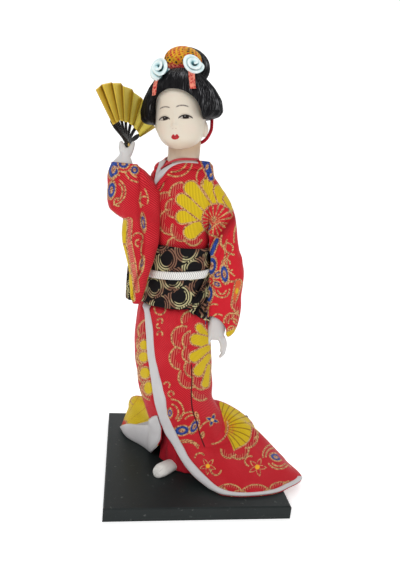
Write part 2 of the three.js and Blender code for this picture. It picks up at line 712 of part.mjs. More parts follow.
// White under-collar, crossed at the chest: rows of its lower and upper edges on the robe.
const underCollarRows = [
  [-159, 201.5, -154.5, 210.4], [-150, 205, -147.4, 212.5], [-141, 207.8, -138, 214.2], [-132.5, 211, -126, 215.8],
  [-116, 213.8, -110, 216.8], [-90, 215.4, -88, 217.5], [-60, 216, -60, 217.8], [-20, 216.2, -20, 217.9],
  [20, 216.2, 20, 217.9], [60, 216.2, 60, 217.9], [100, 216.2, 100, 217.9], [140, 215.8, 140, 217.9],
  [168, 215, 170, 217.8], [182, 214.2, 184, 217.4], [191, 212, 196, 216], [196, 208, 201.6, 213.4],
  [198, 204.6, 203.6, 211], [199.4, 201.8, 204, 210.2],
];

// Red inner collar: a thin band around the neck, its width leaning inwards.
const innerCollarLine = [
  V(-37, -3.8, 211.4), V(-34.8, -5.2, 213.8), V(-31.6, -6.4, 216), V(-28.2, -7.8, 217.6), V(-23.6, -9, 218.5),
  V(-17.4, -7, 219), V(-13.4, -1.4, 219.3), V(-13.2, 4.6, 219.4), V(-17.4, 10.6, 219.5), V(-23.6, 12.6, 219.5),
  V(-30, 10.8, 219.1), V(-34, 5.6, 218), V(-35.8, 1, 216), V(-37, -1.6, 213.4),
];
function innerCollar(grow = 0) {
  const [width, thick, count] = [1.7, 0.8, 26];
  const curve = new THREE.CatmullRomCurve3(innerCollarLine, true, 'centripetal');
  const axis = V(-23.6, 1.8, 0);
  const grid = (shift) => [-grow, width + grow].map((reach) => {
    const row = [];
    for (let i = 0; i < count; i += 1) {
      const p = curve.getPoint(i / count);
      const inward = axis.clone().sub(p).setZ(0).normalize();
      const rise = inward.clone().multiplyScalar(0.5).add(V(0, 0, 0.87));
      const out = inward.clone().multiplyScalar(-0.87).add(V(0, 0, 0.5));
      row.push(p.addScaledVector(rise, reach).addScaledVector(out, shift));
    }
    return row;
  });
  return slab(grid(thick + grow), grid(-grow), true);
}

const paint = (color, roughness = 0.7, metalness = 0) => new THREE.MeshStandardMaterial({ color, roughness, metalness });
const PLINTH_BLACK = paint(0x2d3232, 0.45);
const BROCADE = paint(0xbe1423, 0.6);
const SATIN = paint(0xd2cdcd, 0.4);
const RED_SILK = paint(0xb40f1e, 0.5);
const SASH = paint(0x1c1a18, 0.6);
const SKIN = paint(0xe1d7c6, 0.35);
const HAIR = paint(0x141414, 0.35);
const BUN_CLOTH = paint(0xd7961e, 0.6);
const ROSE = paint(0xbee6eb, 0.35);
const RIBBON = paint(0xd74646, 0.5);
const GOLD = paint(0xd7b450, 0.35, 0.6);
const LACQUER = paint(0x101010, 0.3);
const BRASS = paint(0xc8a050, 0.3, 1);

const doll = new THREE.Group();
function add(name, geometry, material) {
  const mesh = new THREE.Mesh(geometry, material);
  mesh.name = name;
  doll.add(mesh);
}

function plinth() {
  const half = PLINTH.side / 2;
  const b = PLINTH.bevel;
  const square = (s, z) => [V(-s, -s, z), V(s, -s, z), V(s, s, z), V(-s, s, z)];
  return loft([square(half, 0), square(half, PLINTH.height - b), square(half - b, PLINTH.height)]);
}

add('base', plinth(), PLINTH_BLACK);

// Robe and what it holds
const neckHole = neck(GAP);
const footHole = foot(GAP);
const innerSkirt = underRobe();
add('foot', foot(), SKIN);
add('under_robe', cut(innerSkirt, footHole), RED_SILK);
add('kimono', cut(robeBody(), robeOpening(), neckHole, footHole, underRobe(GAP)), BROCADE);

// Head, wig and hair ornaments
const ear = (side, grow) => lump(headPlace(side * 15.4, -1, 238.4), [2.2 + grow, 3.4 + grow, 5.6 + grow], V(0, 0, 1), 10, 5);
const wholeHead = (grow) => join(skull(grow), neck(grow), ear(1, grow), ear(-1, grow));
add('head', wholeHead(0), SKIN);
const headHole = wholeHead(GAP);
add('wig', cut(wigMass(), headHole, faceOpening()), HAIR);
const wigHole = wigMass(GAP);
const bunCloth = (grow) => lump(V(-29, 2.6, 277), [12.4 + grow, 11.6 + grow, 9.6 + grow]);
const bun = (grow) => lump(V(-26.4, 7.6, 274.6), [14.8 + grow, 12.6 + grow, 11.6 + grow]);
add('hair_bun', cut(bun(0), wigHole, bunCloth(GAP)), HAIR);
add('bun_cloth', cut(bunCloth(0), wigHole), BUN_CLOTH);
const ornamentHole = [wigHole, bunCloth(GAP), bun(GAP)];
add('rosette_left', cut(rosette(ROSE_LEFT), ...ornamentHole), ROSE);
add('rosette_right', cut(rosette(ROSE_RIGHT), ...ornamentHole), ROSE);

// Ribbon ends that hang over the front roll of hair: rows of height and the two limits of plan angle.
function hairRibbon(rows) {
  const grid = (grow) => rows.map(([z, left, right]) => [0, 0.5, 1]
    .map((u) => wigPoint(rad(THREE.MathUtils.lerp(left, right, u)), z, grow)));
  return slab(grid(1), grid(GAP));
}
const ribbonRightRows = [[268.6, -99, -80], [265, -94, -79], [261, -88, -77], [257.6, -85, -75]];
const ribbonLeftRows = [[265.6, -158, -142], [261, -160, -148], [257, -163, -152]];
add('ribbon_right', cut(hairRibbon(ribbonRightRows), rosette(ROSE_RIGHT, GAP)), RIBBON);
add('ribbon_left', cut(hairRibbon(ribbonLeftRows), rosette(ROSE_LEFT, GAP)), RIBBON);
add('ear_cord', cut(rod([[V(-6.6, 6, 244), 0.8], [V(-7.4, 6.6, 238.5), 0.8], [V(-10, 7.8, 233.8), 0.8],
  [V(-13.6, 9.5, 231.2), 0.8], [V(-18, 12.5, 230.6), 0.8]], 8), wigHole, headHole), RED_SILK);

// Sash, cord and bow
const robeGrown = robeBody(GAP);
const robeLoose = robeBody(LOOSE);
const robeRaised = robeBody();
robeRaised.translate(0, 0, LOOSE);
const robeClearance = [robeLoose, robeRaised];
add('obi', waistRing(WAIST_LOW + 0.8, WAIST_HIGH - 0.2, GAP, OBI_THICK, 0.6), SASH);
const cordLift = GAP + OBI_THICK + 0.9;
add('obi_cord', waistRing(CORD.z - CORD.width / 2, CORD.z + CORD.width / 2, cordLift, CORD.thick, 0, 1), SATIN);
const waistHole = robeBody(cordLift + CORD.thick + LOOSE, [WAIST_LOW + 0.4, WAIST_HIGH + 0.1]);
add('obi_tail', cut(sashTail(), robeGrown, hangingHand(GAP)), SASH);
add('front_band', cutLoose(robeStrip(frontBand, BAND), ...robeClearance), SATIN);
add('fold_band', cutLoose(robeStrip(foldBand, BAND), ...robeClearance), SATIN);

add('hand_left', hangingHand(), SKIN);
add('hand_right', cut(raisedHand(), fanClearance()), SKIN);
add('sleeve_right', cutLoose(sleeve(raisedSleeve), robeLoose, waistHole, raisedHand(LOOSE)), BROCADE);
add('sleeve_left', cutLoose(sleeve(hangingSleeve), robeLoose, waistHole, sashTail(LOOSE), hangingHand(LOOSE), neck(LOOSE),
  innerCollar(LOOSE)), BROCADE);
add('obi_bow', cutLoose(bow(), robeLoose, waistHole, sleeve(hangingSleeve, 2 * LOOSE), sleeve(raisedSleeve, 2 * LOOSE),
  sashTail(LOOSE)), SASH);
add('inner_collar', cut(innerCollar(), robeGrown, headHole), RED_SILK);
add('under_collar', cutLoose(robeStrip(underCollarRows, BAND, 1), ...robeClearance, headHole, innerCollar(LOOSE),
  sleeve(raisedSleeve, LOOSE), sleeve(hangingSleeve, LOOSE)), SATIN);

add('fan_leaf', fanLeaf(), GOLD);
for (let i = 0; i < FAN.pleats; i += 1) add(`fan_rib_${i + 1}`, fanRib(i), LACQUER);
add('fan_pivot', fanPivot(), BRASS);

export default doll;
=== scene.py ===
# A souvenir geisha doll on a square plinth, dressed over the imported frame.
# Shapes are worked out in millimetres, +Z up, and turned into metres when a mesh is made.
import bpy
import math
import numpy as np
from mathutils import Matrix, Vector


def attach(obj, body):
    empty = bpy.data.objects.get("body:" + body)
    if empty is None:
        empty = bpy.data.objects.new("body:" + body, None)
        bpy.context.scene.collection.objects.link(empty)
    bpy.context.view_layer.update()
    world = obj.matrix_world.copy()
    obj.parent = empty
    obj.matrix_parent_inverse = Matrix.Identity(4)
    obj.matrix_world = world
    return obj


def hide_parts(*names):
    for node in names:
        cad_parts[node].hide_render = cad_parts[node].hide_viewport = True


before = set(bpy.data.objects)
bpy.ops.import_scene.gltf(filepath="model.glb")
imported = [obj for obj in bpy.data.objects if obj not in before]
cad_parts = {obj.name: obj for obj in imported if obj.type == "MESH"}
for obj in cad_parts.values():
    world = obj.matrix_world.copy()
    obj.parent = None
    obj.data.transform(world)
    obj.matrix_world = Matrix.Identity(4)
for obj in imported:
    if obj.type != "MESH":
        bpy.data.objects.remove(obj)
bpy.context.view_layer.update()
MM = 0.001
TAU = 2 * math.pi


# Curves and surfaces
def around(count):
    return np.linspace(0, TAU, count, endpoint=False)


def rounded(wave, power):
    """A cosine or sine bent for a rounded outline, a circle's at power 2 and squarer above it."""
    return np.sign(wave) * np.abs(wave) ** (2 / power)


def smooth(low, high, x):
    t = np.clip((np.asarray(x, float) - low) / (high - low), 0, 1)
    return t * t * (3 - 2 * t)


def bump(x, centre, width):
    return np.exp(-((np.asarray(x, float) - centre) / width) ** 2)


class Track:
    """Smooth curve through rows of a position and its values, flat beyond both ends."""

    def __init__(self, rows):
        table = np.array(rows, float)
        self.at = table[:, 0]
        self.values = table[:, 1:]
        step = np.diff(self.at)[:, None]
        rise = np.diff(self.values, axis=0) / step
        self.slope = np.zeros_like(self.values)
        before = rise[:-1]
        after = rise[1:]
        total = before + after
        same = before * after > 0
        self.slope[1:-1] = np.where(same, 2 * before * after / np.where(same, total, 1), 0)

    def __call__(self, t, k=0):
        t = np.clip(np.asarray(t, float), self.at[0], self.at[-1])
        i = np.clip(np.searchsorted(self.at, t, side="right") - 1, 0, len(self.at) - 2)
        width = self.at[i + 1] - self.at[i]
        u = (t - self.at[i]) / width
        low = self.values[i, k]
        rise = self.values[i + 1, k] - low
        a = self.slope[i, k] * width
        b = self.slope[i + 1, k] * width
        return low + u * a + u * u * (3 * rise - 2 * a - b) + u ** 3 * (a + b - 2 * rise)


def ripple(points, wavelength, seed=0, count=7):
    """Soft uneven field in about -1 to 1, from plane waves of fixed directions."""
    total = 0
    for k in range(count):
        turn = (k + seed * 0.37) * 2.39996
        tilt = math.sin(1.7 * k + seed)
        along = np.array([math.cos(turn), math.sin(turn), tilt])
        size = (0.7 + 0.6 * math.fmod(k * 0.618 + seed * 0.21, 1)) * TAU / wavelength
        total = total + np.sin(points @ (along / np.linalg.norm(along)) * size + 2.1 * k + 5 * seed)
    return total / math.sqrt(count)


def grid_faces(rows, cols, wrap):
    last = cols if wrap else cols - 1
    i, j = np.meshgrid(np.arange(rows - 1), np.arange(last), indexing="ij")
    k = (j + 1) % cols
    quads = np.stack([i * cols + j, i * cols + k, (i + 1) * cols + k, (i + 1) * cols + j], -1)
    return quads.reshape(-1, 4)


def grid_normals(grid, wrap):
    if wrap:
        across = np.roll(grid, -1, 1) - np.roll(grid, 1, 1)
    else:
        across = np.gradient(grid, axis=1)
    down = np.gradient(grid, axis=0)
    normal = np.cross(across, down)
    size = np.linalg.norm(normal, axis=2, keepdims=True)
    return normal / np.maximum(size, 1e-9)


def turn_out(points, faces):
    """Face lists of a closed body, all turned outward by the sign of its volume."""
    middle = points.mean(0)
    volume = 0.0
    for face in faces:
        p = points[np.asarray(face)] - middle
        for n in range(1, p.shape[1] - 1):
            volume += np.einsum("ij,ij->i", p[:, 0], np.cross(p[:, n], p[:, n + 1])).sum()
    if volume < 0:
        return [np.asarray(face)[:, ::-1] for face in faces]
    return [np.asarray(face) for face in faces]


def make_piece(name, points, faces, material, cloth=None):
    """One object from points in millimetres and face lists; cloth is stored per point."""
    mesh = bpy.data.meshes.new(name)
    rows = [row for face in faces for row in face.tolist()]
    mesh.from_pydata((np.asarray(points) * MM).tolist(), [], rows)
    mesh.update()
    if cloth is not None:
        layer = mesh.attributes.new("cloth", "FLOAT_VECTOR", "POINT")
        layer.data.foreach_set("vector", np.asarray(cloth, np.float32).ravel())
    mesh.polygons.foreach_set("use_smooth", [True] * len(mesh.polygons))
    mesh.materials.append(material)
    piece = bpy.data.objects.new(name, mesh)
    bpy.context.scene.collection.objects.link(piece)
    return piece


def rim_faces(rows, cols, wrap):
    half = rows * cols
    last = cols if wrap else cols - 1
    j = np.arange(last)
    k = (j + 1) % cols
    low = (rows - 1) * cols
    rims = [np.stack([k, j, half + j, half + k], -1),
            np.stack([low + j, low + k, half + low + k, half + low + j], -1)]
    if not wrap:
        i = np.arange(rows - 1)
        a = i * cols
        b = a + cols
        rims.append(np.stack([a, b, half + b, half + a], -1))
        rims.append(np.stack([b + cols - 1, a + cols - 1, half + a + cols - 1, half + b + cols - 1], -1))
    return np.concatenate(rims)


def shell(name, grid, thick, material, wrap=False, cloth=None, inner=None, outward=None):
    """Closed thin sheet on a grid of points, thickened away from its outer side."""
    rows, cols = grid.shape[:2]
    if inner is None:
        normal = grid_normals(grid, wrap)
        centre = grid.reshape(-1, 3).mean(0) if outward is None else np.asarray(outward)
        sign = np.sign(np.einsum("ijk,ijk->", normal, grid - centre))
        inner = grid - normal * sign * thick
    points = np.concatenate([grid.reshape(-1, 3), inner.reshape(-1, 3)])
    quads = grid_faces(rows, cols, wrap)
    faces = [quads, quads[:, ::-1] + rows * cols, rim_faces(rows, cols, wrap)]
    if cloth is not None:
        cloth = np.concatenate([cloth.reshape(-1, 3), cloth.reshape(-1, 3)])
    return make_piece(name, points, turn_out(points, faces), material, cloth)


def loft(name, rings, material, cloth=None):
    """Closed body through rings of points, with capped ends."""
    rows, cols = rings.shape[:2]
    points = np.concatenate([rings.reshape(-1, 3), rings[:1].mean(1), rings[-1:].mean(1)])
    j = np.arange(cols)
    k = (j + 1) % cols
    low = (rows - 1) * cols
    first = np.stack([k, j, np.full(cols, rows * cols)], -1)
    last = np.stack([low + j, low + k, np.full(cols, rows * cols + 1)], -1)
    faces = turn_out(points, [grid_faces(rows, cols, True), first, last])
    if cloth is not None:
        cloth = np.concatenate([cloth.reshape(-1, 3), cloth[0, :1], cloth[-1, :1]])
    return make_piece(name, points, faces, material, cloth)


def arc_cloth(grid, extra=None):
    """Cloth coordinates of a grid: running length across each row and down each column."""
    across = np.linalg.norm(np.diff(grid, axis=1), axis=2)
    u = np.concatenate([np.zeros((grid.shape[0], 1)), np.cumsum(across, 1)], 1)
    u -= u[:, [u.shape[1] // 2]]
    down = np.linalg.norm(np.diff(grid, axis=0), axis=2)
    v = np.concatenate([np.zeros((1, grid.shape[1])), np.cumsum(down, 0)], 0)
    v = np.broadcast_to(v.mean(1, keepdims=True) * 0.5, v.shape) + v * 0.5
    w = np.full_like(u, 3.0) if extra is None else extra
    return np.stack([u, v, w], -1)


# The photograph's view, worked out from the plinth's corners: size and focal length in its pixels
PHOTO_WIDTH = 400
PHOTO_HEIGHT = 570
FOCAL = 493
EYE = (-59.46, -322.39, 214.45)
VIEW_RIGHT = (0.9845, -0.1456, 0.0980)
VIEW_AHEAD = (0.1646, 0.9596, -0.2282)


def make_camera():
    data = bpy.data.cameras.new("view")
    data.sensor_fit = "AUTO"
    data.sensor_width = 36
    data.lens = FOCAL / PHOTO_HEIGHT * data.sensor_width
    data.clip_start = 0.01
    data.clip_end = 20
    camera = bpy.data.objects.new("view", data)
    right = Vector(VIEW_RIGHT).normalized()
    ahead = Vector(VIEW_AHEAD).normalized()
    up = right.cross(ahead)
    right = ahead.cross(up)
    turn = Matrix((right, up, -ahead)).transposed().to_4x4()
    camera.matrix_world = Matrix.Translation(Vector(tuple(v * MM for v in EYE))) @ turn
    bpy.context.scene.collection.objects.link(camera)
    bpy.context.scene.camera = camera


make_camera()


# Surfaces as numbers: arithmetic on a field makes math nodes in the material's tree
def feed(tree, slot, value):
    """Gives a node's input a number, a colour, a vector, a field or another node's output."""
    if isinstance(value, Field):
        value = value.socket
    if isinstance(value, bpy.types.NodeSocket):
        tree.links.new(value, slot)
    elif isinstance(value, tuple) and slot.type == "RGBA":
        slot.default_value = (*value, 1)
    else:
        slot.default_value = value


class Field:
    def __init__(self, tree, socket):
        self.tree = tree
        self.socket = socket

    def made(self, kind, *others):
        node = self.tree.nodes.new("ShaderNodeMath")
        node.operation = kind
        for slot, value in zip(node.inputs, (self,) + others):
            feed(self.tree, slot, value)
        return Field(self.tree, node.outputs[0])

    def step(self, low, high):
        """0 below low, 1 above high, smooth between; low may be above high."""
        node = self.tree.nodes.new("ShaderNodeMapRange")
        node.interpolation_type = "SMOOTHSTEP"
        turned = low > high
        bounds = (high, low, 1, 0) if turned else (low, high, 0, 1)
        for slot, value in zip(node.inputs[1:5], bounds):
            slot.default_value = value
        self.tree.links.new(self.socket, node.inputs[0])
        return Field(self.tree, node.outputs[0])


# What each sign or word on a field does; a.over(b) is the angle of (b, a), from -pi to pi
OPERATIONS = {
    "__add__": "ADD", "__radd__": "ADD", "__sub__": "SUBTRACT", "__mul__": "MULTIPLY", "__rmul__": "MULTIPLY",
    "__truediv__": "DIVIDE", "abs": "ABSOLUTE", "sin": "SINE", "root": "SQRT", "power": "POWER",
    "floor": "FLOOR", "fract": "FRACT", "least": "MINIMUM", "most": "MAXIMUM", "over": "ARCTAN2"}
for word, operation in OPERATIONS.items():
    setattr(Field, word, lambda self, *others, kind=operation: self.made(kind, *others))


def blend_ink(tree, first, second, share):
    """Colour between two; each is a colour or a socket, the share a field or number."""
    node = tree.nodes.new("ShaderNodeMix")
    node.data_type = "RGBA"
    for slot, value in zip((node.inputs[6], node.inputs[7], node.inputs[0]), (first, second, share)):
        feed(tree, slot, value)
    return node.outputs[2]


class Paint:
    """A material under construction."""

    def __init__(self, name, colour, roughness=0.6, metallic=0.0, sheen=0.0, coat=0.0, level=0.5):
        self.material = bpy.data.materials.new(name)
        self.material.use_nodes = True
        self.tree = self.material.node_tree
        self.shader = self.tree.nodes["Principled BSDF"]
        looks = {"Base Color": colour, "Roughness": roughness, "Metallic": metallic, "Sheen Weight": sheen,
                 "Coat Weight": coat, "Specular IOR Level": level}
        for key, value in looks.items():
            feed(self.tree, self.shader.inputs[key], value)
        self.material.diffuse_color = (*colour, 1)

    def node(self, kind, inputs, **settings):
        made = self.tree.nodes.new(kind)
        for key, value in settings.items():
            setattr(made, key, value)
        for key, value in inputs.items():
            feed(self.tree, made.inputs[key], value)
        return made

    def surface(self, label):
        """One output of the surface's own coordinates: Object or Normal."""
        return self.node("ShaderNodeTexCoord", {}).outputs[label]

    def place(self):
        """Position on the object at rest, in millimetres."""
        metres = self.surface("Object")
        return self.node("ShaderNodeVectorMath", {0: metres, "Scale": 1000}, operation="SCALE").outputs[0]

    def cloth(self):
        """The piece's own cloth coordinates."""
        return self.node("ShaderNodeAttribute", {}, attribute_name="cloth").outputs["Vector"]

    def parts(self, vector):
        split = self.node("ShaderNodeSeparateXYZ", {0: vector})
        return [Field(self.tree, socket) for socket in split.outputs]

    def scaled(self, vector, sizes):
        return self.node("ShaderNodeVectorMath", {0: vector, 1: sizes}, operation="MULTIPLY").outputs[0]

    def dot(self, vector, along, shift=0.0):
        node = self.node("ShaderNodeVectorMath", {0: vector, 1: along}, operation="DOT_PRODUCT")
        return Field(self.tree, node.outputs["Value"]) - shift

    def noise(self, vector, scale, detail=2.0):
        node = self.node("ShaderNodeTexNoise", {"Vector": vector, "Scale": scale, "Detail": detail})
        return Field(self.tree, node.outputs["Fac"])

    def cells(self, vector, scale):
        node = self.node("ShaderNodeTexVoronoi", {"Vector": vector, "Scale": scale})
        return Field(self.tree, node.outputs["Distance"])

    def mix(self, first, second, share):
        return blend_ink(self.tree, first, second, share)

    def shade(self, colour, factor):
        """Colour times a field."""
        return self.node("ShaderNodeVectorMath", {0: colour, "Scale": factor}, operation="SCALE").outputs[0]

    def done(self, colour, height=None, depth=0.1, strength=0.5, roughness=None):
        """The material with its colour, a bump of a depth in millimetres, and an uneven roughness."""
        feed(self.tree, self.shader.inputs["Base Color"], colour)
        if roughness is not None:
            feed(self.tree, self.shader.inputs["Roughness"], roughness)
        if height is not None:
            relief = {"Strength": strength, "Distance": depth * MM, "Height": height}
            feed(self.tree, self.shader.inputs["Normal"], self.node("ShaderNodeBump", relief).outputs[0])
        return self.material


RED = (0.56, 0.009, 0.020)
DEEP_RED = (0.30, 0.004, 0.010)
CREAM = (0.55, 0.50, 0.27)
MAROON = (0.17, 0.028, 0.03)


# The brocade's flowers are laid on its front from one fixed point before the doll, in units of about 0.7 mm
EYE_RIGHT = (0.98454, -0.14561, 0.09756)
EYE_AHEAD = (0.16466, 0.95963, -0.22822)
EYE_UP = tuple(float(v) for v in np.cross(EYE_RIGHT, EYE_AHEAD))


SHAPES = {}


def shape_tree(name, inputs, outputs, build):
    """Shared arithmetic: a node group made once from fields and colours."""
    if name not in SHAPES:
        tree = bpy.data.node_groups.new(name, "ShaderNodeTree")
        for labels, way in ((inputs, "INPUT"), (outputs, "OUTPUT")):
            for label in labels:
                kind = "NodeSocketColor" if label.startswith("ink") else "NodeSocketFloat"
                tree.interface.new_socket(label, in_out=way, socket_type=kind)
        entry = tree.nodes.new("NodeGroupInput")
        leave = tree.nodes.new("NodeGroupOutput")
        given = [entry.outputs[k] if label.startswith("ink") else Field(tree, entry.outputs[k])
                 for k, label in enumerate(inputs)]
        for slot, made in zip(leave.inputs, build(tree, *given)):
            feed(tree, slot, made)
        SHAPES[name] = tree
    return SHAPES[name]


def inside(distance):
    return distance.step(0.45, -0.45)


def band_mask(distance, width):
    return (distance.abs() - width).step(0.35, -0.35)


def ellipse_field(x, y, cx, cy, rx, ry, c, s):
    x = x - cx
    y = y - cy
    a = (x * c + y * s) / rx
    b = (y * c - x * s) / ry
    return ((a * a + b * b).root() - 1) * rx.least(ry)


def capsule_field(x, y, ax, ay, bx, by, ra, rb):
    dx = bx - ax
    dy = by - ay
    x = x - ax
    y = y - ay
    t = ((x * dx + y * dy) / (dx * dx + dy * dy)).most(0.0).least(1.0)
    x = x - t * dx
    y = y - t * dy
    return (x * x + y * y).root() - (t * (rb - ra) + ra)


def arc_fields(x, y, cx, cy, radius, start, span, squash):
    x = x - cx
    y = (y - cy) / squash
    r = (x * x + y * y).root()
    turn = (y.over(x) * (1 / TAU) - start).fract()
    return r - radius, (turn - span).step(0.008, -0.008)


def fill_shape(tree, ground, ink, distance, amount):
    return [blend_ink(tree, ground, ink, inside(distance) * amount)]


def line_shape(tree, ground, ink, distance, width, window):
    return [blend_ink(tree, ground, ink, band_mask(distance, width) * window)]


def petal_shape(tree, ground, fill, edge_ink, x, y, ax, ay, bx, by, ra, rb, edge):
    distance = capsule_field(x, y, ax, ay, bx, by, ra, rb)
    colour = blend_ink(tree, ground, fill, inside(distance))
    return [blend_ink(tree, colour, edge_ink, band_mask(distance, edge))]


def lobe_shape(tree, ground, edge_ink, x, y, cx, cy, radius, start, span, squash, deep, width):
    distance, window = arc_fields(x, y, cx, cy, radius, start, span, squash)
    hatch = ((x + y * 0.12) * (TAU / 2.3)).sin().step(0.0, 0.75)
    band = distance.step(0.3, -0.3) * (distance + deep).step(-0.4, 0.4) * window
    colour = blend_ink(tree, ground, DEEP_RED, band * 0.55)
    colour = blend_ink(tree, colour, (0.62, 0.16, 0.10), band * hatch * 0.7)
    return [blend_ink(tree, colour, edge_ink, band_mask(distance, width) * window)]


def jewel_shape(tree, ground, fill, edge_ink, x, y, cx, cy, rx, ry, c, s, mark):
    distance = ellipse_field(x, y, cx, cy, rx, ry, c, s)
    colour = blend_ink(tree, ground, fill, inside(distance))
    colour = blend_ink(tree, colour, edge_ink, (distance.abs() - 0.65).step(0.35, -0.35))
    inner = ellipse_field(x, y, cx, cy, rx * mark, ry * mark, c, s)
    return [blend_ink(tree, colour, edge_ink, inside(inner) * 0.9)]


def cos_sin(degrees):
    return math.cos(math.radians(degrees)), math.sin(math.radians(degrees))


def start_span(start, stop):
    """An arc's start and length as shares of a turn."""
    return start / 360, ((stop - start) % 360) / 360


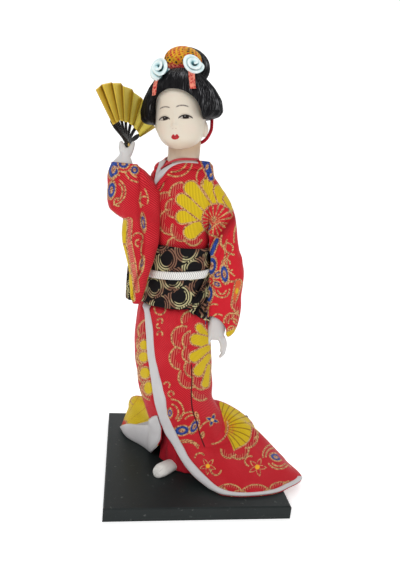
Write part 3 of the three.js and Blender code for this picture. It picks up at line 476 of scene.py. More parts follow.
class Canvas:
    """Brocade under way: a running colour, its drawing plane and its inks."""

    def __init__(self, paint, cloth, colour):
        self.paint = paint
        self.colour = colour
        place = paint.place()
        depth = self.dot(place, EYE_AHEAD)
        self.x = self.dot(place, EYE_RIGHT) / depth * FOCAL + PHOTO_WIDTH / 2
        self.y = self.dot(place, EYE_UP) / depth * -FOCAL + PHOTO_HEIGHT / 2
        floats = paint.noise(place, 1.15, 2)
        self.gold = paint.mix((0.24, 0.05, 0.03), (0.62, 0.38, 0.15), floats.step(0.38, 0.60))
        self.u, self.v, _ = paint.parts(cloth)
        rib = (self.u * (TAU / 0.95)).sin() * 0.5 + 0.5
        self.yellow = paint.mix((0.42, 0.27, 0.004), (0.74, 0.54, 0.010), rib.step(0.1, 0.8))
        self.blue = paint.mix((0.008, 0.022, 0.13), (0.025, 0.075, 0.34), floats.step(0.35, 0.65))
        self.red = RED

    def dot(self, place, axis):
        return self.paint.dot(place, axis, float(np.dot(EYE, axis)))

    def over(self, ink, share):
        """Lays an ink over the running colour."""
        self.colour = self.paint.mix(self.colour, self.ink(ink), share)

    def ink(self, ink):
        return getattr(self, ink) if isinstance(ink, str) else ink

    def call(self, name, labels, outputs, build, *values):
        tree = shape_tree(name, labels.split(), outputs.split(), build)
        return self.paint.node("ShaderNodeGroup", dict(enumerate(values)), node_tree=tree).outputs

    def shape(self, name, labels, build, *values):
        self.colour = self.call(name, "ink_ground " + labels, "ink", build, self.colour, *values)[0]

    def fill(self, distance, ink):
        self.shape("fill", "ink_fill distance amount", fill_shape, self.ink(ink), distance, 1.0)

    def line(self, distance, ink, width=0.8, window=1.0):
        self.shape("line", "ink_line distance width window", line_shape,
                   self.ink(ink), distance, width, window)

    def ellipse(self, cx, cy, rx, ry, turn=0):
        made = self.call("ellipse", "x y cx cy rx ry c s", "distance", lambda tree, *f: [ellipse_field(*f)],
                         self.x, self.y, cx, cy, rx, ry, *cos_sin(turn))
        return Field(self.paint.tree, made[0])

    def capsule(self, *ends):
        made = self.call("capsule", "x y ax ay bx by ra rb", "distance", lambda tree, *f: [capsule_field(*f)],
                         self.x, self.y, *ends)
        return Field(self.paint.tree, made[0])

    def oval(self, cx, cy, rx, ry, turn=0, ink="gold", edge=0):
        """Filled ellipse, with a gold edge if it has a width."""
        distance = self.ellipse(cx, cy, rx, ry, turn)
        self.fill(distance, ink)
        if edge:
            self.line(distance, "gold", edge)

    def stroke(self, cx, cy, radius, start, stop, width=0.8, squash=1.0):
        """Part of a circle as a gold line; angles turn from right to down."""
        made = self.call("arc", "x y cx cy radius start span squash", "distance window",
                         lambda tree, *f: arc_fields(*f), self.x, self.y, cx, cy, radius,
                         *start_span(start, stop), squash)
        distance, window = (Field(self.paint.tree, socket) for socket in made)
        self.line(distance, "gold", width, window)

    def lobe(self, cx, cy, radius, start, stop, deep=6.0, width=0.95, squash=1.0):
        """Scallop: a gold edge round a hatched red band."""
        self.shape("lobe", "ink_edge x y cx cy radius start span squash deep width", lobe_shape,
                   self.gold, self.x, self.y, cx, cy, radius, *start_span(start, stop), squash, deep, width)

    def petal(self, ax, ay, bx, by, ra, rb, ink="yellow", edge=0.85):
        self.shape("petal", "ink_fill ink_edge x y ax ay bx by ra rb edge", petal_shape,
                   self.ink(ink), self.gold, self.x, self.y, ax, ay, bx, by, ra, rb, edge)

    def jewel(self, cx, cy, rx, ry, turn=0):
        """Blue petal with a gold edge and a gold mark."""
        self.shape("jewel", "ink_fill ink_edge x y cx cy rx ry c s mark", jewel_shape,
                   self.blue, self.gold, self.x, self.y, cx, cy, rx, ry, *cos_sin(turn), 0.42)

    def star(self, cx, cy, radius, count, turn=0, ink=None, core=(0.85, 0.42, 0.02)):
        """Small flower of pointed petals in gold outline."""
        x = self.x - cx
        y = self.y - cy
        r = (x * x + y * y).root()
        sector = (y.over(x) * (count / TAU) + turn).fract() - 0.5
        shape = r / radius + sector.abs() * 1.5
        if ink is not None:
            self.over(ink, shape.step(1.0, 0.9))
        self.over("gold", ((shape - 1) * radius).abs().step(1.0, 0.5))
        self.over(core, r.step(radius * 0.32, radius * 0.2))

    def draw(self, table):
        """Draws rows of shapes, each kind by its own method, the later ones over the earlier."""
        for kind, *rows in table:
            for row in rows:
                getattr(self, kind)(*row)

    def tiled(self, pitch=58.0):
        """Flowers in staggered rows over the cloth, for the sides and the back."""
        u = self.u / pitch + 0.31
        column = u.floor() * 0.5
        x = (u.fract() - 0.5) * pitch
        y = ((self.v / pitch + column + 0.12).fract() - 0.5) * pitch
        r = (x * x + y * y).root()
        sector = y.over(x) * (12 / TAU) + 0.5
        q = (sector.fract() - 0.5).abs() * 2
        half = r * (math.pi / 12)
        t = ((r / 15.5 - 0.62) / 0.38).most(0.0)
        w = ((t * t) * -1 + 1).most(0.0).root()
        distance = (w - q) * half
        lobes = (sector * math.pi).sin().abs().power(0.5)
        hatch = (x * (TAU / 1.6)).sin().step(0.0, 0.75)
        for base, bulge in ((22.0, 3.2), (17.0, 2.6)):
            edge = r - (lobes * bulge + base)
            self.over(DEEP_RED, edge.step(0.2, -0.2) * 0.45)
            self.over((0.72, 0.22, 0.13), edge.step(0.2, -0.2) * hatch * 0.5)
            self.over("gold", edge.abs().step(0.75, 0.4))
        self.over("gold", r.step(17.5, 16.8))
        self.over("yellow", distance.step(0.4, 0.75) * r.step(16.4, 15.6))
        disc = r.step(5.4, 4.8)
        self.over(RED, disc)
        spokes = (sector.fract() - 0.5).abs().step(0.30, 0.42)
        self.over("gold", disc * spokes)
        self.over("gold", (r - 5.2).abs().step(0.7, 0.4))
        y = ((self.v / pitch + column + 0.62).fract() - 0.5) * pitch
        r = (x * x + y * y).root()
        sector = (y.over(x) * (5 / TAU)).fract() - 0.5
        shape = r / 8.5 + sector.abs() * 1.3
        self.over("blue", shape.step(1.0, 0.92))
        self.over("gold", ((shape - 1) * 8.5).abs().step(0.8, 0.45))
        self.over("gold", (r - 2.0).abs().step(0.65, 0.35))
        self.over(RED, r.step(1.7, 1.3))


def brocade(name, draw, slant=-0.9, pitch=1.15):
    """Ribbed red brocade with flowers: those of the front drawn one by one, the rest in rows."""
    paint = Paint(name, RED, roughness=0.60, sheen=0.04, level=0.16)
    cloth = paint.cloth()
    u, v, seam = paint.parts(cloth)
    place = paint.place()
    wave = ((u * (math.cos(slant) * TAU / pitch)) + (v * (math.sin(slant) * TAU / pitch))
            + paint.noise(cloth, 0.03, 1) * 1.2).sin()
    rib = wave * 0.5 + 0.5
    tone = paint.noise(place, 0.06, 3)
    # painted shade darker in the rib grooves, and a painted sheen lighter on the rib crests, stronger in soft
    # patches
    ground = paint.mix((0.31, 0.004, 0.010), RED, rib.step(0.0, 0.55))
    ground = paint.mix(ground, (0.78, 0.060, 0.075), rib.step(0.6, 1.0) * (tone.step(0.4, 0.65) * 0.45 + 0.1))
    canvas = Canvas(paint, cloth, ground)
    canvas.tiled()
    rest = canvas.colour
    canvas.colour = ground
    draw(canvas)
    facing = paint.dot(paint.surface("Normal"), tuple(-v for v in EYE_AHEAD))
    colour = paint.mix(rest, canvas.colour, facing.step(0.06, 0.14))
    thread = paint.noise(paint.scaled(cloth, (1.0, 4.5, 1.0)), 1.4, 2)
    colour = paint.shade(colour, thread * 0.30 + 0.86)
    _, _, height = paint.parts(place)
    sewn = seam.abs().step(0.62, 0.30) * height.step(90, 88) * height.step(31, 33)
    colour = paint.mix(colour, (0.05, 0.002, 0.004), sewn)
    return paint.done(colour, rib * 0.7 + thread * 0.3, 0.16, 0.7)


# The front's flowers, as rows for the canvas: scallops, petals, strokes and small fillings
CHEST_FLOWER = (
    ("lobe", (181, 194, 11.5, 165, 285), (175, 208, 9.5, 95, 262), (171, 222, 12.5, 75, 265),
     (182, 230, 11, 60, 215), (193, 236, 9.5, 20, 165), (166, 205, 12.5, 118, 285), (176, 246, 9, 160, 270)),
    ("petal", (202, 224, 191, 232, 6, 7.6), (196, 216, 182.5, 217, 5.5, 7), (204, 216, 182, 199.5, 6.5, 6.2),
     (209, 209, 191, 188, 5, 7.4), (216, 203, 207, 184.5, 4, 6), (223, 205, 219, 190, 4.5, 5.6),
     (231, 208, 227, 199, 3, 4.2)))
COLLAR_SCROLLS = (("stroke", (176, 160, 16.5, 12, 122), (173, 157, 15, 20, 100), (207, 177, 10.5, 150, 262)),)
SHOULDER_SCROLLS = (("stroke", (212, 183, 9, 165, 250), (150, 180, 14, 10, 50)),)
SHOULDER_MARKS = (("oval", (207, 167, 1.5, 3, 20), (211, 175, 1.2, 2, 20)),)
SLEEVE_FLOWERS = (
    ("jewel", (208.5, 226.5, 3, 4)),
    ("stroke", (219, 230, 6.5, 180, 340), (262, 252, 37, 160, 200), (272, 238, 38, 172, 205),
     (246, 262, 22, 150, 195), (226, 263, 4, 150, 380), (222, 290, 7.5, -10, 190), (222, 290, 4, 0, 180),
     (233, 276, 6, 90, 270), (232, 286, 5, 200, 400), (212, 300, 6, 200, 330)),
    ("petal", (217, 240, 209.5, 258, 2.6, 2.8, "blue", 0.7)),
    ("jewel", (211.5, 266, 5.2, 9.5, 8), (208.5, 294, 4.6, 9.5, 4), (218, 274.5, 5, 3.2, -35),
     (217, 284, 4, 2.6, 30), (204, 276, 3, 4, -20), (224.5, 274, 4.2, 9.5, -8), (206, 252, 2.4, 5, 10)),
    ("oval", (210, 281, 4.4, 4.8), (210, 281, 3.1, 3.5, 0, "red"), (210, 281, 1.3, 1.5)),
    ("petal", (234, 301, 238.5, 283, 2.2, 3.6, (0.62, 0.10, 0.03), 0.8)),
    ("oval", (237, 291, 1.4, 3, 12, "yellow")),
    ("lobe", (240, 304, 8.5, 95, 215, 5), (233, 322, 9, 170, 345, 4)),
    ("stroke", (233, 323, 4.6, 170, 350)),
    ("petal", (226, 335, 238, 330, 3.2, 3.0, "yellow", 0.9)),
    ("stroke", (232, 330, 4, 180, 330)),
    ("petal", (207.5, 303, 206, 324, 1.2, 1.6, "blue", 0.8)),
    ("stroke", (236, 240, 15, 95, 200), (238, 236, 19, 100, 170), (228, 248, 5, 180, 400),
     (214, 312, 8, 180, 300), (243, 262, 16, 120, 215), (218, 320, 6, 150, 320), (240, 318, 7, 90, 260)))
CUFF_FLOWERS = (
    ("jewel", (113.5, 169.5, 5.2, 9.5, 10), (111.5, 190, 4.0, 8.8, 8), (123.5, 163.5, 5.6, 5.0, 0),
     (134.5, 170, 4.2, 4.4, 0)),
    ("stroke", (124, 164, 8, 15, 165), (112, 191.5, 13.5, -58, 85), (112, 191.5, 10.5, -50, 60),
     (118, 202, 4, 60, 300), (138, 169, 13, 88, 172), (138, 169, 8, 95, 170), (118, 181, 6, 180, 290),
     (128, 200, 20, -35, 12), (144, 201, 4.5, 90, 300), (138, 238, 5, 200, 420), (139, 243, 3.5, 90, 270),
     (160, 250, 19, 150, 205), (170, 200, 30, 165, 195)))
SLEEVE_HATCHES = ((129, 221, 128, 241, 3.2, 3.2), (128, 241, 133, 266, 3.2, 3.2),
                  (133, 266, 137, 290, 3.0, 2.2))
SLEEVE_EDGE_FLOWERS = (
    ("petal", (124.5, 222, 123, 247, 3.0, 3.4), (123.5, 247, 129, 276, 3.2, 3.2),
     (129, 276, 132.5, 299, 3.2, 2.4)),
    ("jewel", (143.3, 222.5, 2.5, 8.5, -6), (142, 263, 2.0, 6.0, 14)),
    ("stroke", (118, 262, 26, -10, 40)))
SKIRT_FLOWERS = (
    ("lobe", (190, 320, 8.5, 150, 290), (183, 337.5, 11.5, 100, 292), (181, 358, 11.5, 95, 255),
     (189, 377.5, 10.5, 60, 222), (201, 391, 9.5, 50, 178), (192.5, 341, 10, 130, 262),
     (192, 354, 9.5, 100, 235), (194, 368, 9.5, 90, 220), (202, 380, 9.5, 75, 200)),
    ("petal", (206, 336, 199.5, 327.5, 4, 4.2), (207, 342, 196, 339.5, 6, 6),
     (208.5, 348, 194.5, 357, 3.6, 5.6), (209, 356, 198.5, 371, 3.2, 5.6), (209, 366, 205.5, 384, 2.4, 4.2)),
    ("lobe", (150, 344, 13, 130, 245), (148, 357, 11.5, 120, 240), (149, 373, 11.5, 115, 240),
     (152, 389, 11, 100, 230), (150, 331, 12, 150, 260)),
    ("oval", (144, 345, 4.8, 5.4, 0, "yellow", 0.85), (143.5, 357, 5.2, 5.6, 0, "yellow", 0.85),
     (145, 373, 5.6, 6, 0, "yellow", 0.85), (148.5, 388, 5, 7, 0, "yellow", 0.85)),
    ("stroke", (160, 309, 5.6, -15, 200), (160, 321, 2.6, 180, 420), (159, 326, 2.2, 60, 260),
     (160, 334, 2.6, 150, 400), (167, 385, 3, 190, 420), (171, 394, 2.8, 90, 400),
     (172, 411, 11.5, -95, 62), (170, 412.5, 8.4, -80, 50), (190, 425, 13, 205, 292),
     (193, 424, 9, 210, 300), (214, 436, 16, 200, 262), (186, 457, 17, 235, 320), (187, 455, 13, 240, 330)),
    ("jewel", (170, 413, 2.6, 4.5), (182, 430.5, 7.8, 5, -8), (194.5, 426.5, 3.8, 7.6, 28)),
    ("star", (212.5, 420, 6.5, 4, 0.3, "blue", (0.75, 0.45, 0.15))),
    ("oval", (202.5, 435, 2.2, 3.6, 20), (197, 415, 1.8, 3.6, -25)))
TRAIN_SCALLOPS = (("lobe", (246, 436, 12, -75, 95, 4.0), (239, 449, 10, -5, 150, 4.0),
                  (229, 450, 8, 30, 190, 4.0),
                   (250, 432, 8, -80, 60, 4.0)),)
TRAIN_FLOWERS = (
    ("stroke", (211, 427, 17, -20, 88), (274, 455, 11, 165, 285), (274, 456, 8, 170, 280),
     (279, 457, 12, 15, 150), (279, 457, 9, 20, 140), (200, 458, 5, 180, 330), (216, 470, 5, 0, 200),
     (250, 461, 5, 100, 300)),
    ("star", (208, 466, 8, 5, 0.2), (257.5, 467, 9, 5, 0.45)),
    ("jewel", (276, 457, 6.2, 3.6, 20)),
    ("lobe", (229, 496, 14, 185, 355, 3.5, 0.8, 0.85), (256, 499, 17, 190, 350, 3.5, 0.8, 0.85),
     (281, 493, 13, 185, 330, 3.5, 0.8, 0.85), (240, 498, 9, 190, 350, 3.0, 0.8, 0.85),
     (270, 497, 9, 190, 350, 3.0, 0.8, 0.85), (220, 494, 8, 185, 350, 3.0, 0.8, 0.85),
     (290, 487, 7, 170, 330, 3.0, 0.8, 0.85)))
FOLD_LOOP = (("stroke", (134, 401, 3.4, 100, 260, 0.5)),)
FOLD_SPOT = (("oval", (123.5, 422.5, 3.4, 2.6, 20, (0.55, 0.03, 0.01), 0.7)),)


def draw_chest(canvas):
    """Large yellow flower over the shoulder, with its scallops, and the collar's crescent."""
    canvas.draw(CHEST_FLOWER)
    distance = canvas.ellipse(217.5, 220, 15.5, 16.5)
    canvas.fill(distance, RED)
    spokes = (((canvas.y - 221).over(canvas.x - 214) * (17 / TAU)).fract() - 0.5).abs().step(0.22, 0.12)
    canvas.over("gold", spokes * distance.step(0.3, -0.3))
    canvas.line(distance, "gold")
    canvas.oval(214, 219, 2.2, 3.4)
    canvas.draw(COLLAR_SCROLLS + SHOULDER_SCROLLS)
    distance = canvas.capsule(205, 160, 211, 178, 4.5, 3.4)
    canvas.fill(distance, "blue")
    canvas.line(distance, "gold")
    canvas.draw(SHOULDER_MARKS)


def draw_hanging_sleeve(canvas):
    """The chest's flower down to the sleeve's fold, painted shade in the crease under the fold, and blue
    petals and scrolls below it.
    """
    draw_chest(canvas)
    below = (canvas.y - 213) + (canvas.x - 234) * 1.32
    # painted shade: a darker red band in the crease just under the sleeve's fold
    canvas.over(DEEP_RED, below.step(0, 3) * (canvas.x * -1 + 240).step(0, 1))
    canvas.over(RED, (below - 4).step(0, 14))
    canvas.draw(SLEEVE_FLOWERS)


def draw_raised_sleeve(canvas):
    """Blue petals round the cuff, scrolls, and a yellow edge down the hanging part."""
    canvas.draw(CUFF_FLOWERS)
    for ends in SLEEVE_HATCHES:
        distance = canvas.capsule(*ends)
        hatch = ((canvas.y + canvas.x * 0.4) * (TAU / 2.1)).sin().step(-0.2, 0.6)
        canvas.over((0.58, 0.17, 0.12), distance.step(0.3, -0.3) * (hatch * 0.7 + 0.3))
        canvas.line(distance, "gold", 0.6)
    canvas.draw(SLEEVE_EDGE_FLOWERS)


def draw_skirt(canvas):
    """Flowers down both edges of the skirt, and those of the train."""
    canvas.draw(SKIRT_FLOWERS)
    draw_train(canvas)


def draw_train(canvas):
    """A yellow pleated fan, small flowers, a scalloped border and the turned fold at the left, its white
    lining painted grey in painted shade.
    """
    paint = canvas.paint
    canvas.draw(TRAIN_SCALLOPS)
    x = canvas.x - 222
    y = canvas.y - 429
    r = (x * x + y * y).root()
    turn = y.over(x) - r * 0.010
    beyond = (canvas.x + (canvas.y - 428).abs() * 0.27 - 225.5).step(0.0, 0.8)
    reach = turn.step(0.0, 0.75) * -5 + 30
    sector = turn.step(-1.95, -1.9) * turn.step(0.85, 0.8) * beyond
    fan = (r - reach).step(-0.8, -1.4) * sector
    canvas.over("gold", (r - reach).step(0.6, 0.0) * sector)
    canvas.over("yellow", fan)
    folds = (turn * (1 / 0.25)).fract() - 0.5
    edge = (folds.abs() - 0.5) * r * 0.25
    canvas.over((0.26, 0.12, 0.006), fan * edge.step(-0.8, -0.3) * 0.85)
    mottle = paint.noise(paint.place(), 0.5, 3).step(0.4, 0.6)
    canvas.over((0.62, 0.10, 0.008), fan * r.step(17, 7) * mottle * 0.8)
    canvas.draw(TRAIN_FLOWERS)
    left = (canvas.x - (canvas.y - 398) * 0.33 - 142.5).step(0.5, -0.5) * canvas.y.step(395.5, 396.5)
    pleats = ((canvas.y - 430).over(canvas.x - 118) * (1 / 0.34)).fract() - 0.5
    gathered = paint.mix(canvas.yellow, (0.42, 0.16, 0.01), pleats.abs().step(0.45, 0.5) * 0.8)
    canvas.over(gathered, left)
    canvas.draw(FOLD_LOOP)
    # the turned fold's white lining painted on the skirt in grey: white cloth in painted shade
    under = (canvas.y + (canvas.x - 121) * 0.27 - 428.6).step(-0.6, 0.4) * (canvas.x * -1 + 158).step(0, 1)
    canvas.over((0.42, 0.40, 0.41), under * (canvas.x - 118).step(0, 1))
    canvas.draw(FOLD_SPOT)


def draw_collar(canvas):
    canvas.draw(COLLAR_SCROLLS)


def satin(name, colour, streak=0.1):
    paint = Paint(name, colour, roughness=0.46, sheen=0.05, level=0.25)
    fine = paint.noise(paint.scaled(paint.cloth(), (3.0, 0.5, 1.0)), 2.0, 3)
    soft = paint.noise(paint.place(), 0.11, 2)
    shade = fine * streak + soft * 0.16 + (1 - streak / 2 - 0.08)
    return paint.done(paint.shade(colour, shade), fine, 0.05, 0.5)


def plain_cloth(name, colour, scale=1.6, roughness=0.7):
    paint = Paint(name, colour, roughness=roughness, sheen=0.03, level=0.15)
    u, v, _ = paint.parts(paint.cloth())
    weave = (u * (TAU * scale)).sin() * (v * (TAU * scale)).sin()
    soft = paint.noise(paint.place(), 0.15, 3)
    return paint.done(paint.shade(colour, weave * 0.08 + soft * 0.5 + 0.72), weave * 0.5 + 0.5, 0.12, 0.6)


def skin(name, colour=(0.72, 0.65, 0.55)):
    paint = Paint(name, colour, roughness=0.40, level=0.3)
    soft = paint.noise(paint.place(), 0.07, 3)
    paint.done(paint.shade(colour, soft * 0.12 + 0.94))
    paint.shader.inputs["Subsurface Weight"].default_value = 0.12
    paint.shader.inputs["Subsurface Radius"].default_value = (0.9, 0.5, 0.35)
    paint.shader.inputs["Subsurface Scale"].default_value = 0.002
    return paint


# The robe's form: one surface about a leaning axis
FLOOR = 9.3
BODY_TURN = math.radians(25)
WAIST_LOW = 124
WAIST_HIGH = 165
ROBE_FORM = Track([
    (FLOOR, -2, 0, 26, 23), (28, -1.5, 0, 27.6, 24), (36, -4, 0, 28, 24), (47, -8.4, 0, 27.2, 23.4),
    (60, -14.0, 0, 25.8, 22.8), (76, -16.6, 1, 27, 23), (93, -18.7, 1.5, 27, 22.5), (110, -20.1, 2, 25.5, 21),
    (121, -20.8, 2, 24, 19.6), (WAIST_LOW, -21, 2, 20.8, 16.4), (WAIST_HIGH, -21, 2, 20.2, 16),
    (178, -21, 1.5, 20, 16.6), (190, -21.5, 1.5, 20.8, 17), (200, -22, 1.6, 21.6, 17),
    (208, -22.4, 1.8, 20.6, 15), (214, -22.8, 2.4, 16, 12), (218, -23, 3, 11, 9.6)])
HEM_FORM = Track([
    (-228, 60, 38, 0.6), (-217, 60, 44, 0.3), (-213, 57, 44.5, 0.25), (-207, 50, 44.5, 0.25),
    (-198, 36, 44.5, 0.4), (-190, 30, 44, 0.6), (-180, 27, 44, 0.8), (-150, 29, 40, 1), (-120, 33, 40, 1),
    (-100, 37, 40, 1.1), (-83, 42, 40, 1.1), (-69, 52, 38, 1.1), (-54, 62, 34, 1), (-34, 77, 37.5, 1.3),
    (-21, 84.6, 40.4, 1.3), (-6, 74.8, 49, 1.05), (10, 64, 50.6, 0.68), (30, 55, 45, 0.45),
    (60, 54, 40, 1), (95, 50, 36, 1), (120, 54, 36, 0.8), (132, 60, 38, 0.6)])
FOLD_DEPTH = Track([(-220, 0.8), (-190, 0), (-70, 0), (-12, 0.8), (4, 2), (30, 2.4), (60, 2.6), (120, 2)])
CREASE_DEPTH = Track([(-92, 0), (-75, 2.4), (-54, 4.0), (-17, 4.4), (-2, 3.0), (7, 0)])
CREASE_LINE = Track([(-92, 30.5), (-75, 29.6), (-54, 28.8), (-31, 29.4), (-17, 33.5), (-11, 40.3), (-2, 47)])
SEAM = Track([(12, -76), (30, -75), (60, -70), (90, -66), (124, -64)])


def robe_radius(degrees, z, grow=0.0):
    degrees = np.asarray(degrees, float)
    z = np.asarray(z, float)
    wrapped = np.mod(degrees + 228, 360) - 228
    angle = np.radians(degrees)
    across = angle + BODY_TURN
    oval = 1 / np.hypot(np.cos(across) / ROBE_FORM(z, 2), np.sin(across) / ROBE_FORM(z, 3))
    start = HEM_FORM(wrapped, 1)
    share = np.clip((start - z) / (start - FLOOR), 0, 1)
    low = 1 / np.hypot(np.cos(across) / ROBE_FORM(FLOOR, 2), np.sin(across) / ROBE_FORM(FLOOR, 3))
    flare = (HEM_FORM(wrapped, 0) - low) * share ** HEM_FORM(wrapped, 2)
    folds = FOLD_DEPTH(wrapped) * np.sqrt(share) * np.cos(angle * 18 + 0.05 * z)
    crease = CREASE_DEPTH(wrapped) * bump(z, CREASE_LINE(wrapped), 2.2)
    return np.maximum(oval + flare + folds - crease, 8) + grow


def about_robe(degrees, z, radius):
    """Points at a radius from the robe's leaning axis."""
    angle = np.radians(degrees)
    x = ROBE_FORM(z, 0) + radius * np.cos(angle)
    y = ROBE_FORM(z, 1) + radius * np.sin(angle)
    return np.stack([x, y, z], -1)


def robe_points(degrees, z, grow=0.0):
    degrees, z = np.broadcast_arrays(np.asarray(degrees, float), np.asarray(z, float))
    return about_robe(degrees, z, robe_radius(degrees, z, grow))


FRONT_EDGE = Track([(FLOOR, -70), (10.3, -75.5), (12.7, -83.5), (18.5, -97.5), (25.7, -112), (31.5, -123.5),
                    (36.7, -133), (44.2, -138.2), (50.4, -137.2), (60.2, -135), (68.8, -135.5),
                    (77.2, -137.2), (84.4, -139.2), (91.4, -142), (101, -144.8), (110, -149.8),
                    (118.2, -154.8), (124, -172), (128, -178)])
FOLD_END = Track([(FLOOR, 177), (12, 188), (16, 197.5), (24, 211), (38, 221.5), (46, 227), (60, 231),
                  (70, 232), (90, 228), (110, 214), (124, 202)])


def drape(degrees, z):
    """Small folds of the hanging skirt: gathers below the sash and long soft ripples."""
    angle = np.radians(degrees)
    gathers = 0.45 * np.cos(angle * 23 + 0.6 * np.sin(angle * 5)) * np.exp(-(124 - z) / 14)
    long_folds = 0.55 * np.cos(angle * 7 + z * 0.035) * smooth(30, 60, z) * smooth(124, 100, z)
    creases = 0.35 * np.sin(z * 0.32 + angle * 4) * smooth(40, 55, z) * smooth(96, 76, z)
    return gathers + long_folds + creases


def build_skirt():
    levels = np.concatenate([np.linspace(127, 60, 52), np.linspace(59, FLOOR, 78)])
    z = levels[:, None] * np.ones((1, 300))
    start = FRONT_EDGE(levels)[:, None]
    end = FOLD_END(levels)[:, None]
    degrees = start + (end - start) * np.linspace(0, 1, 300)[None, :]
    tuck = -2.0 * smooth(-8, 0, degrees - start - 360) * smooth(50, 60, z)
    grid = robe_points(degrees, z, drape(degrees, z) + tuck)
    seam = (degrees - SEAM(z)) * math.pi / 180 * robe_radius(degrees, z)
    cloth = arc_cloth(grid, extra=np.clip(seam, -3, 3))
    return shell("robe_skirt", grid, 0.7, brocade_skirt, cloth=cloth)


def build_bodice():
    levels = np.concatenate([np.linspace(217.6, 205, 22), np.linspace(204.4, 160, 44)])
    z = levels[:, None] * np.ones((1, 200))
    degrees = np.linspace(-270, 90, 200, endpoint=False)[None, :] * np.ones_like(z)
    angle = np.radians(degrees)
    shoulder = 0.5 * np.sin(angle * 5 + z * 0.12) * smooth(218, 204, z)
    waist = 0.25 * np.sin(z * 0.5 + angle * 3) * smooth(185, 168, z)
    grid = robe_points(degrees, z, shoulder + waist)
    return shell("robe_bodice", grid, 0.7, brocade_bodice, wrap=True, cloth=arc_cloth(grid))


def strip_on_robe(name, rows, thick, material, steps=160, across=9, lift=0.3, tilt=0.8):
    """A rounded band on the robe between two edges, from rows of the two edges' angle and height."""
    table = np.array(rows, float)
    at = np.linspace(0, 1, len(rows))
    track = Track(np.column_stack([at, table]))
    t = np.linspace(0, 1, steps)[:, None]
    u = np.linspace(0, 1, across)[None, :]
    degrees = track(t, 0) * (1 - u) + track(t, 2) * u
    z = track(t, 1) * (1 - u) + track(t, 3) * u
    base = robe_points(degrees, z, lift)
    base[..., 2] += tilt * lift
    crown = lift + thick * np.sqrt(np.clip(1 - (2 * u - 1) ** 4, 0, 1)) + 0.05
    top = robe_points(degrees, z, np.broadcast_to(crown, degrees.shape))
    top[..., 2] += tilt * crown
    return shell(name, top, thick, material, cloth=arc_cloth(top), inner=base)


FRONT_BAND = [
    (-174, 124, -156, 125), (-164, 121.5, -147, 122), (-154.8, 118.2, -140, 117.5),
    (-149.8, 110, -133, 109.5), (-144.8, 101, -129, 100.5), (-142, 91.4, -126, 92),
    (-139.2, 84.4, -122.5, 85), (-137.2, 77.2, -119, 78), (-135.5, 68.8, -114, 70),
    (-135, 60.2, -111.5, 61.5), (-137.2, 50.4, -115.5, 51), (-138.2, 44.2, -115.5, 45),
    (-133, 36.7, -111.5, 38.5), (-123.5, 31.5, -106, 32.5), (-112, 25.7, -99.5, 27.1),
    (-97.5, 18.5, -87, 20.7), (-83.5, 12.7, -78, 16.3), (-75.5, 10.3, -71, 12.9), (-68, 9.5, -64, 11.5),
    (-56, 9.5, -56, 11), (-44, 9.5, -44, 10.8), (-32, 9.5, -32, 10.7), (-22, 9.5, -22, 10.7)]
FOLD_BAND = [
    (-214, 9.5, -214, 11), (-210, 9.5, -210, 16), (-206, 9.5, -206, 20.5), (-200, 9.5, -200, 24.5),
    (-190, 9.6, -190, 29.5), (-183, 9.8, -181, 34), (-172, 12.4, -172.5, 38), (-162.5, 16.4, -164, 41),
    (-155, 20.7, -157, 43.5), (-149, 24.7, -151, 45.2), (-143, 31.7, -145, 46.8), (-138.8, 38, -140, 47.6)]
UNDER_COLLAR = [
    (-159, 201.5, -154.5, 210.4), (-150, 205, -147.4, 212.5), (-141, 207.8, -138, 214.2),
    (-132.5, 211, -126, 215.8), (-116, 213.8, -110, 216.5), (-90, 215.4, -88, 217.4),
    (-60, 216, -60, 217.8), (-20, 216.2, -20, 217.9), (20, 216.2, 20, 217.9), (60, 216.2, 60, 217.9),
    (100, 216.2, 100, 217.9), (140, 215.8, 140, 217.9), (168, 215, 170, 217.8), (182, 214.2, 184, 217.4),
    (191, 212, 196, 216), (196, 208, 201.6, 213.4), (198, 204.6, 203.6, 211), (199.4, 201.8, 204, 210.2)]
ROBE_COLLAR = [
    (-154, 190, -150, 200.5), (-151, 197, -147.5, 204.4), (-143, 201.4, -140.6, 207.6),
    (-132, 206, -130, 212.8), (-114, 211, -113, 215.6), (-90, 213, -89, 217), (-60, 213.4, -60, 217.3),
    (-20, 213.6, -20, 217.4), (20, 213.6, 20, 217.4), (60, 213.6, 60, 217.4), (100, 213.6, 100, 217.4),
    (140, 213.2, 140, 217), (168, 212.2, 170, 216), (184, 210, 185, 214), (193, 205.6, 194, 209.6)]


# Sleeves: rows of height, left and right limits, middle and half depth
RAISED_SLEEVE = Track([
    (126, -49, -44.2, -13, 2), (131, -50.4, -42.8, -13, 4), (142, -52.6, -40.3, -12.5, 6),
    (150, -53.8, -38.4, -12, 6.8), (160, -56.5, -36.7, -11.3, 7.4), (168, -58.3, -36, -10.3, 8.1),
    (174, -58.8, -35.8, -9, 8.6), (179.2, -58.6, -35.5, -7.8, 9.4), (180.6, -61.8, -35.4, -6.9, 10),
    (182.4, -65, -35.3, -6.2, 10.4), (185, -67.8, -35.2, -5, 11), (190, -69.2, -34.8, -3, 12),
    (197, -69.4, -35, -1, 12.5), (204, -69.2, -39.5, 0, 12), (209, -68.4, -46.5, -2, 10),
    (213.6, -67.6, -52, -5, 7)])
HANGING_SLEEVE = Track([
    (106, 2, 20, -8, 6), (109.4, 1.4, 22.2, -7.6, 7.4), (113.5, 1, 23.6, -7, 8.6),
    (118.5, 0.9, 23.8, -6.5, 9), (128, 0.8, 24, -6, 9.6), (150, 0.6, 23.2, -6, 9.6),
    (158, 0.4, 21.6, -6, 9.4), (166, 0, 17.9, -5.5, 9.4), (177, -2.5, 15.9, -5, 9.6),
    (188, -6, 12.9, -4.5, 10.4), (196, -9, 8.4, -4, 11), (204, -12, 2.6, -3.5, 10.4),
    (211, -14, -2.6, -3, 8.6), (217, -15, -3.8, -2.5, 6), (219.6, -14.4, -6, -2.5, 4)])
